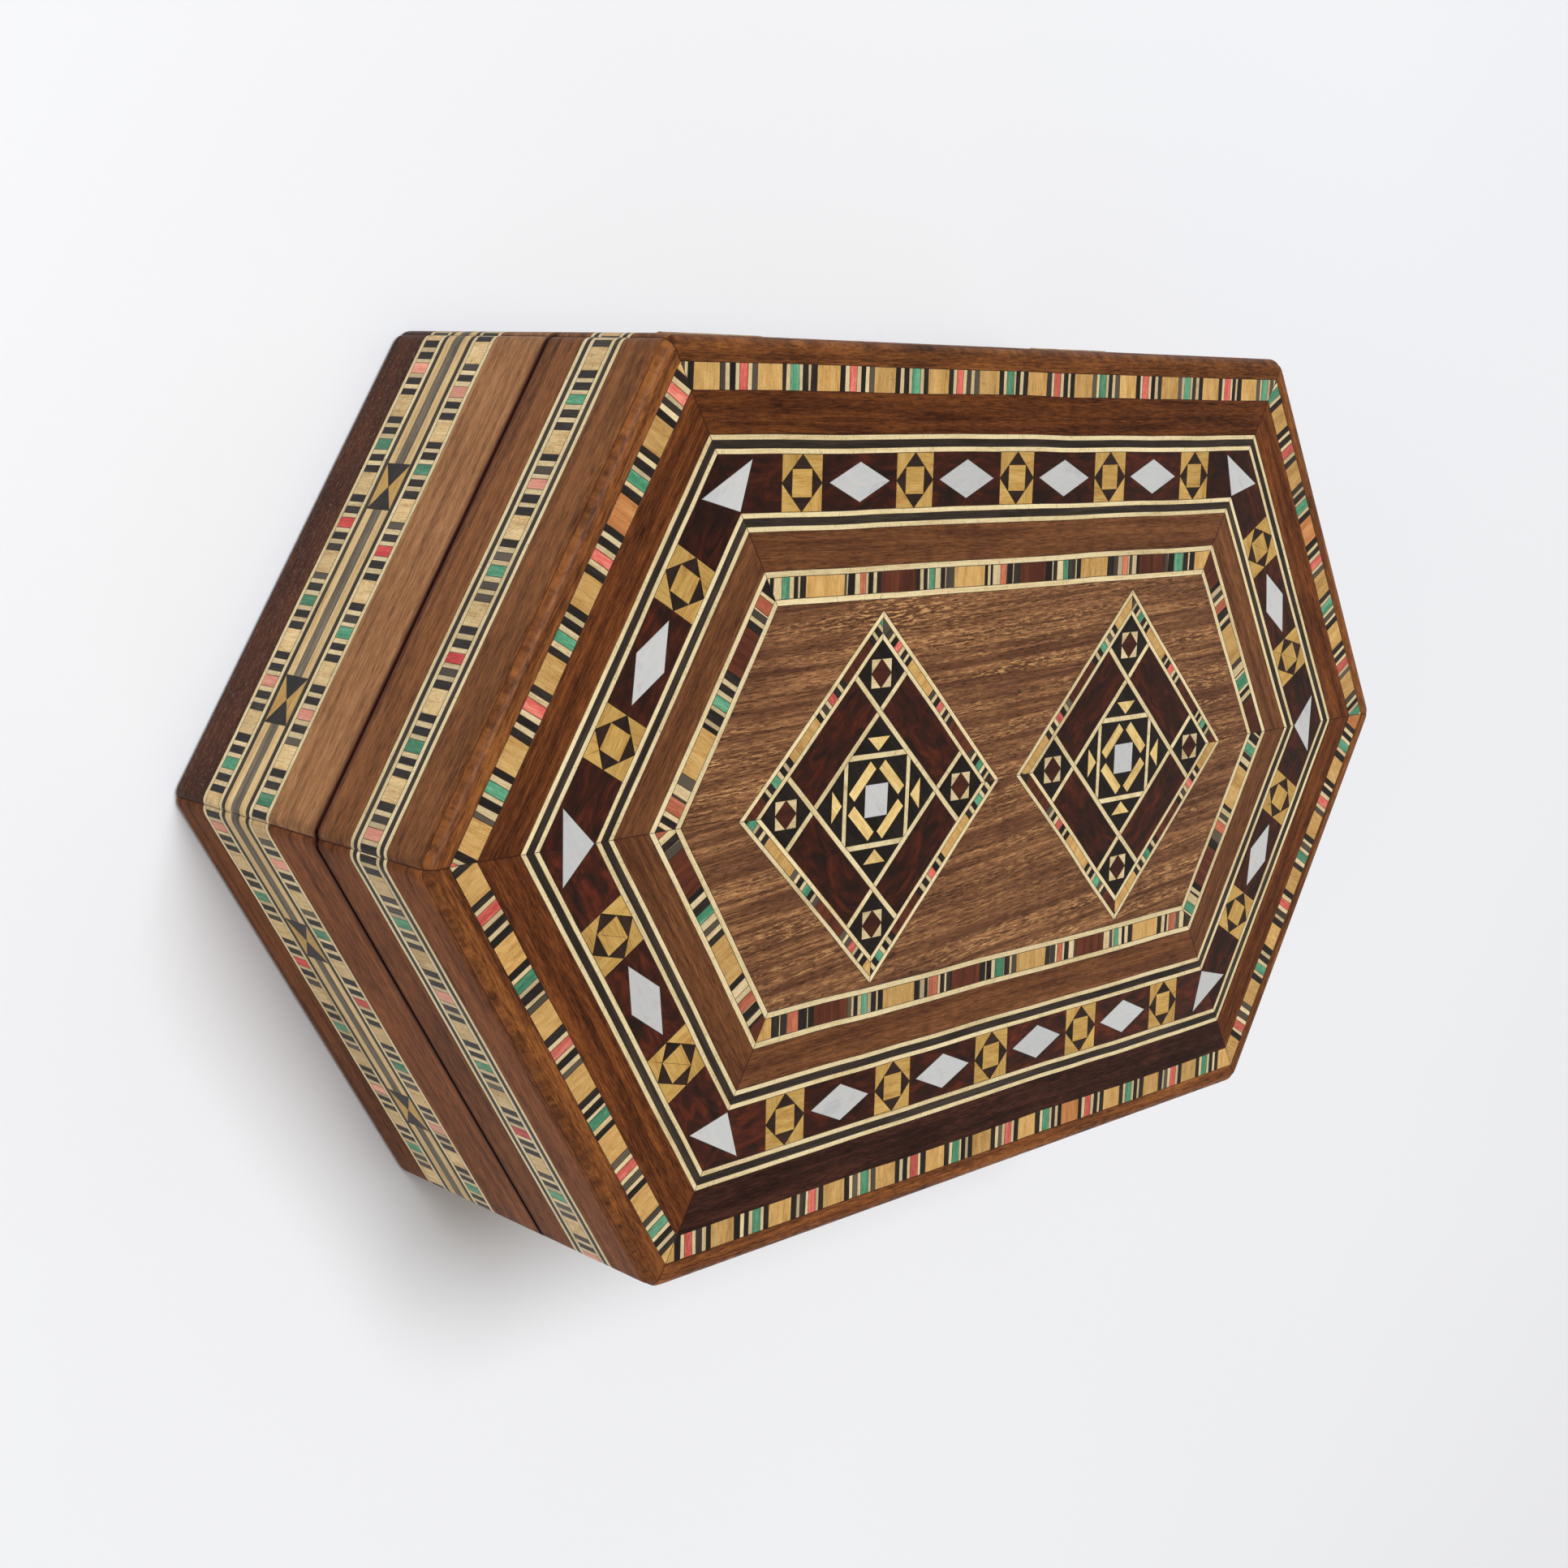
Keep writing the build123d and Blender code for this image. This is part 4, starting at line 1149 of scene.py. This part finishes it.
def soften(solid):
    """Ease the long arrises that a hand meets on the open rims."""
    round_over(solid, [edge for edge in solid.edges
                       if edge.calc_length() > ROW_END and edge.calc_face_angle(0) > SQUARE_EDGE
                       and all(abs(vertex.co.z - PARTING_Z) < PARTING_REACH for vertex in edge.verts)
                       and inset_of((edge.verts[0].co + edge.verts[1].co) / 2) > INNER_INSET - SLACK],
               RIM_ROUNDING)


def lay_boards():
    boards = ["body_bottom_board", "lid_top_board"]
    boards += [f"body_{name}_wall" for name in SIDE_NAMES] + [f"lid_{name}_rim" for name in SIDE_NAMES]
    for node in boards:
        find_place = upright_place if "board" in node else side_place
        inlay = Inlay(node, Skin(as_cut, find_place, "carcass_wood", whole("carcass"), 0, 0.2))
        for solid in solids(node):
            soften(solid)
            inlay.add(solid)
        inlay.finish("wood")


def finish_lining(node, solid):
    mesh = bpy.data.meshes.new(f"{node}_velvet")
    for face in solid.faces:
        face.smooth = True
    solid.to_mesh(mesh)
    solid.free()
    mesh.materials.append(MATERIALS["velvet"])
    piece = stand_in(mesh, node, "velvet")


def pad_flat(node, outward):
    """Velvet over thin wadding on the floor or the ceiling: crowned, and tucked in at its edge."""
    solid = next(solids(node))
    for axis, half in ((EAST, HALF_LENGTH), (NORTH, HALF_WIDTH)):
        count = math.ceil((half - INNER_INSET) / PAD_STEP)
        for k in range(-count, count + 1):
            saw(solid, axis * PAD_STEP * k, axis)
    level = max(vertex.co.z * outward for vertex in solid.verts)
    for vertex in solid.verts:
        if vertex.co.z * outward > level - LEVEL:
            inside = inset_of(vertex.co) - INNER_INSET
            crown = CROWN * (1 - math.exp(-inside / CROWN_REACH)) - TUCK * math.exp(-inside / TUCK_REACH)
            ripple = sum(height * noise.noise(vertex.co / length) for height, length in RIPPLES)
            vertex.co.z += outward * (crown + ripple * ease(inside, *RIPPLE_START))
    finish_lining(node, solid)


def pad_wall(node, open_end):
    """Velvet round the walls, folded over its card at the open end."""
    solid = next(solids(node))
    heights = [vertex.co.z for vertex in solid.verts]
    low, high = min(heights), max(heights)
    rim = high if open_end > 0 else low
    fold = [edge for edge in solid.edges if edge.calc_length() > ROW_END
            and all(abs(vertex.co.z - rim) < LEVEL for vertex in edge.verts)]
    round_over(solid, fold, PAD_FOLD)
    for k in range(1, int((high - low) / PAD_STEP)):
        saw(solid, UP * (low + PAD_STEP * k), UP)
    for side in SIDES:
        for k in range(1, int(SIDE_LENGTHS[side.index] / WALL_STEP)):
            near = [face for face in solid.faces if side_place(face.calc_center_median()) is side]
            saw(solid, side.origin + side.along * WALL_STEP * k, side.along, near)
    solid.normal_update()
    for vertex in solid.verts:
        if inset_of(vertex.co) - INNER_INSET > PAD_FACE:
            arch = math.sin(math.pi * min(max((vertex.co.z - low) / (high - low), 0), 1))
            swell = SWELL * noise.noise(vertex.co / SWELL_LENGTH)
            vertex.co += vertex.normal * (BULGE * math.sqrt(max(arch, 0)) + swell) * arch
    finish_lining(node, solid)


lay_skin()
lay_boards()
pad_flat("body_floor_lining", 1)
pad_flat("lid_ceiling_lining", -1)
pad_wall("body_wall_lining", 1)
pad_wall("lid_wall_lining", -1)

# ---- camera, stage and light ----
LENS = 49.79
CAMERA_PLACE = Vector((-0.23623, 0.05485, 0.24803))
CAMERA_TARGET = Vector((-0.04403, 0.00363, 0.055))
CAMERA_ROLL = math.radians(1.53)
TABLE_SIZE = 3.0
SWEEP_START, SWEEP_END = 0.12, 0.55     # how high the sweep is when it starts and ends darkening
LAMP_TARGET, LAMP_UPRIGHT = Vector((0, 0, 0.02)), Vector((0, 0.3, 1))


def aim(thing, place, target, upright, roll=0.0):
    """Point a camera or light at a target."""
    back = (place - target).normalized()
    right = upright.cross(back).normalized()
    turn = Matrix((right, back.cross(right), back)).transposed()
    thing.matrix_world = Matrix.Translation(place) @ (turn @ Matrix.Rotation(roll, 3, "Z")).to_4x4()


camera_data = bpy.data.cameras.new("camera")
camera_data.lens = LENS
camera_data.clip_start = 0.01
camera = put("camera", camera_data)
aim(camera, CAMERA_PLACE, CAMERA_TARGET, NORTH, CAMERA_ROLL)
bpy.context.scene.camera = camera

floor_mesh = bpy.data.meshes.new("floor")
plate = bmesh.new()
bmesh.ops.create_grid(plate, x_segments=8, y_segments=8, size=TABLE_SIZE)
plate.to_mesh(floor_mesh)
plate.free()
floor_mesh.materials.append(MATERIALS["paper"])
floor = put("floor", floor_mesh)


def studio(horizon, overhead):
    """A pale sweep round the table that is dimmer overhead."""
    world = bpy.data.worlds.new("studio")
    world.use_nodes = True
    tree = world.node_tree
    direction = tree.nodes.new("ShaderNodeTexCoord").outputs["Generated"]
    axes = tree.nodes.new("ShaderNodeSeparateXYZ")
    height = tree.nodes.new("ShaderNodeMapRange")
    tint = tree.nodes.new("ShaderNodeMix")
    tint.data_type = "RGBA"
    height.inputs["From Min"].default_value = SWEEP_START
    height.inputs["From Max"].default_value = SWEEP_END
    tint.inputs[6].default_value = horizon
    tint.inputs[7].default_value = overhead
    tree.links.new(direction, axes.inputs[0])
    tree.links.new(axes.outputs["Z"], height.inputs["Value"])
    tree.links.new(height.outputs[0], tint.inputs[0])
    tree.links.new(tint.outputs[2], tree.nodes["Background"].inputs["Color"])
    bpy.context.scene.world = world


studio((0.90, 0.86, 0.81, 1), (0.32, 0.295, 0.265, 1))


def lamp(name, place, size, power, colour):
    data = bpy.data.lights.new(name, "AREA")
    data.shape = "DISK"
    data.size = size
    data.energy = power
    data.color = colour
    aim(put(name, data), Vector(place), LAMP_TARGET, LAMP_UPRIGHT)


lamp("key", (-0.42, 1.08, 2.9), 1.5, 83, (0.955, 0.975, 1.0))
lamp("side_fill", (-2.6, 0.1, 0.6), 1.4, 8.6, (1.0, 0.975, 0.95))
bpy.context.scene.view_settings.view_transform = "Standard"

for node in ("body_hinge_leaves", "lid_hinge_leaves", "hinge_pins", "body_hinge_screws",
             "lid_hinge_screws"):
    cad = frame["nodes"][node]
    cad.data.materials.clear()
    cad.data.materials.append(MATERIALS["hinge_brass"])
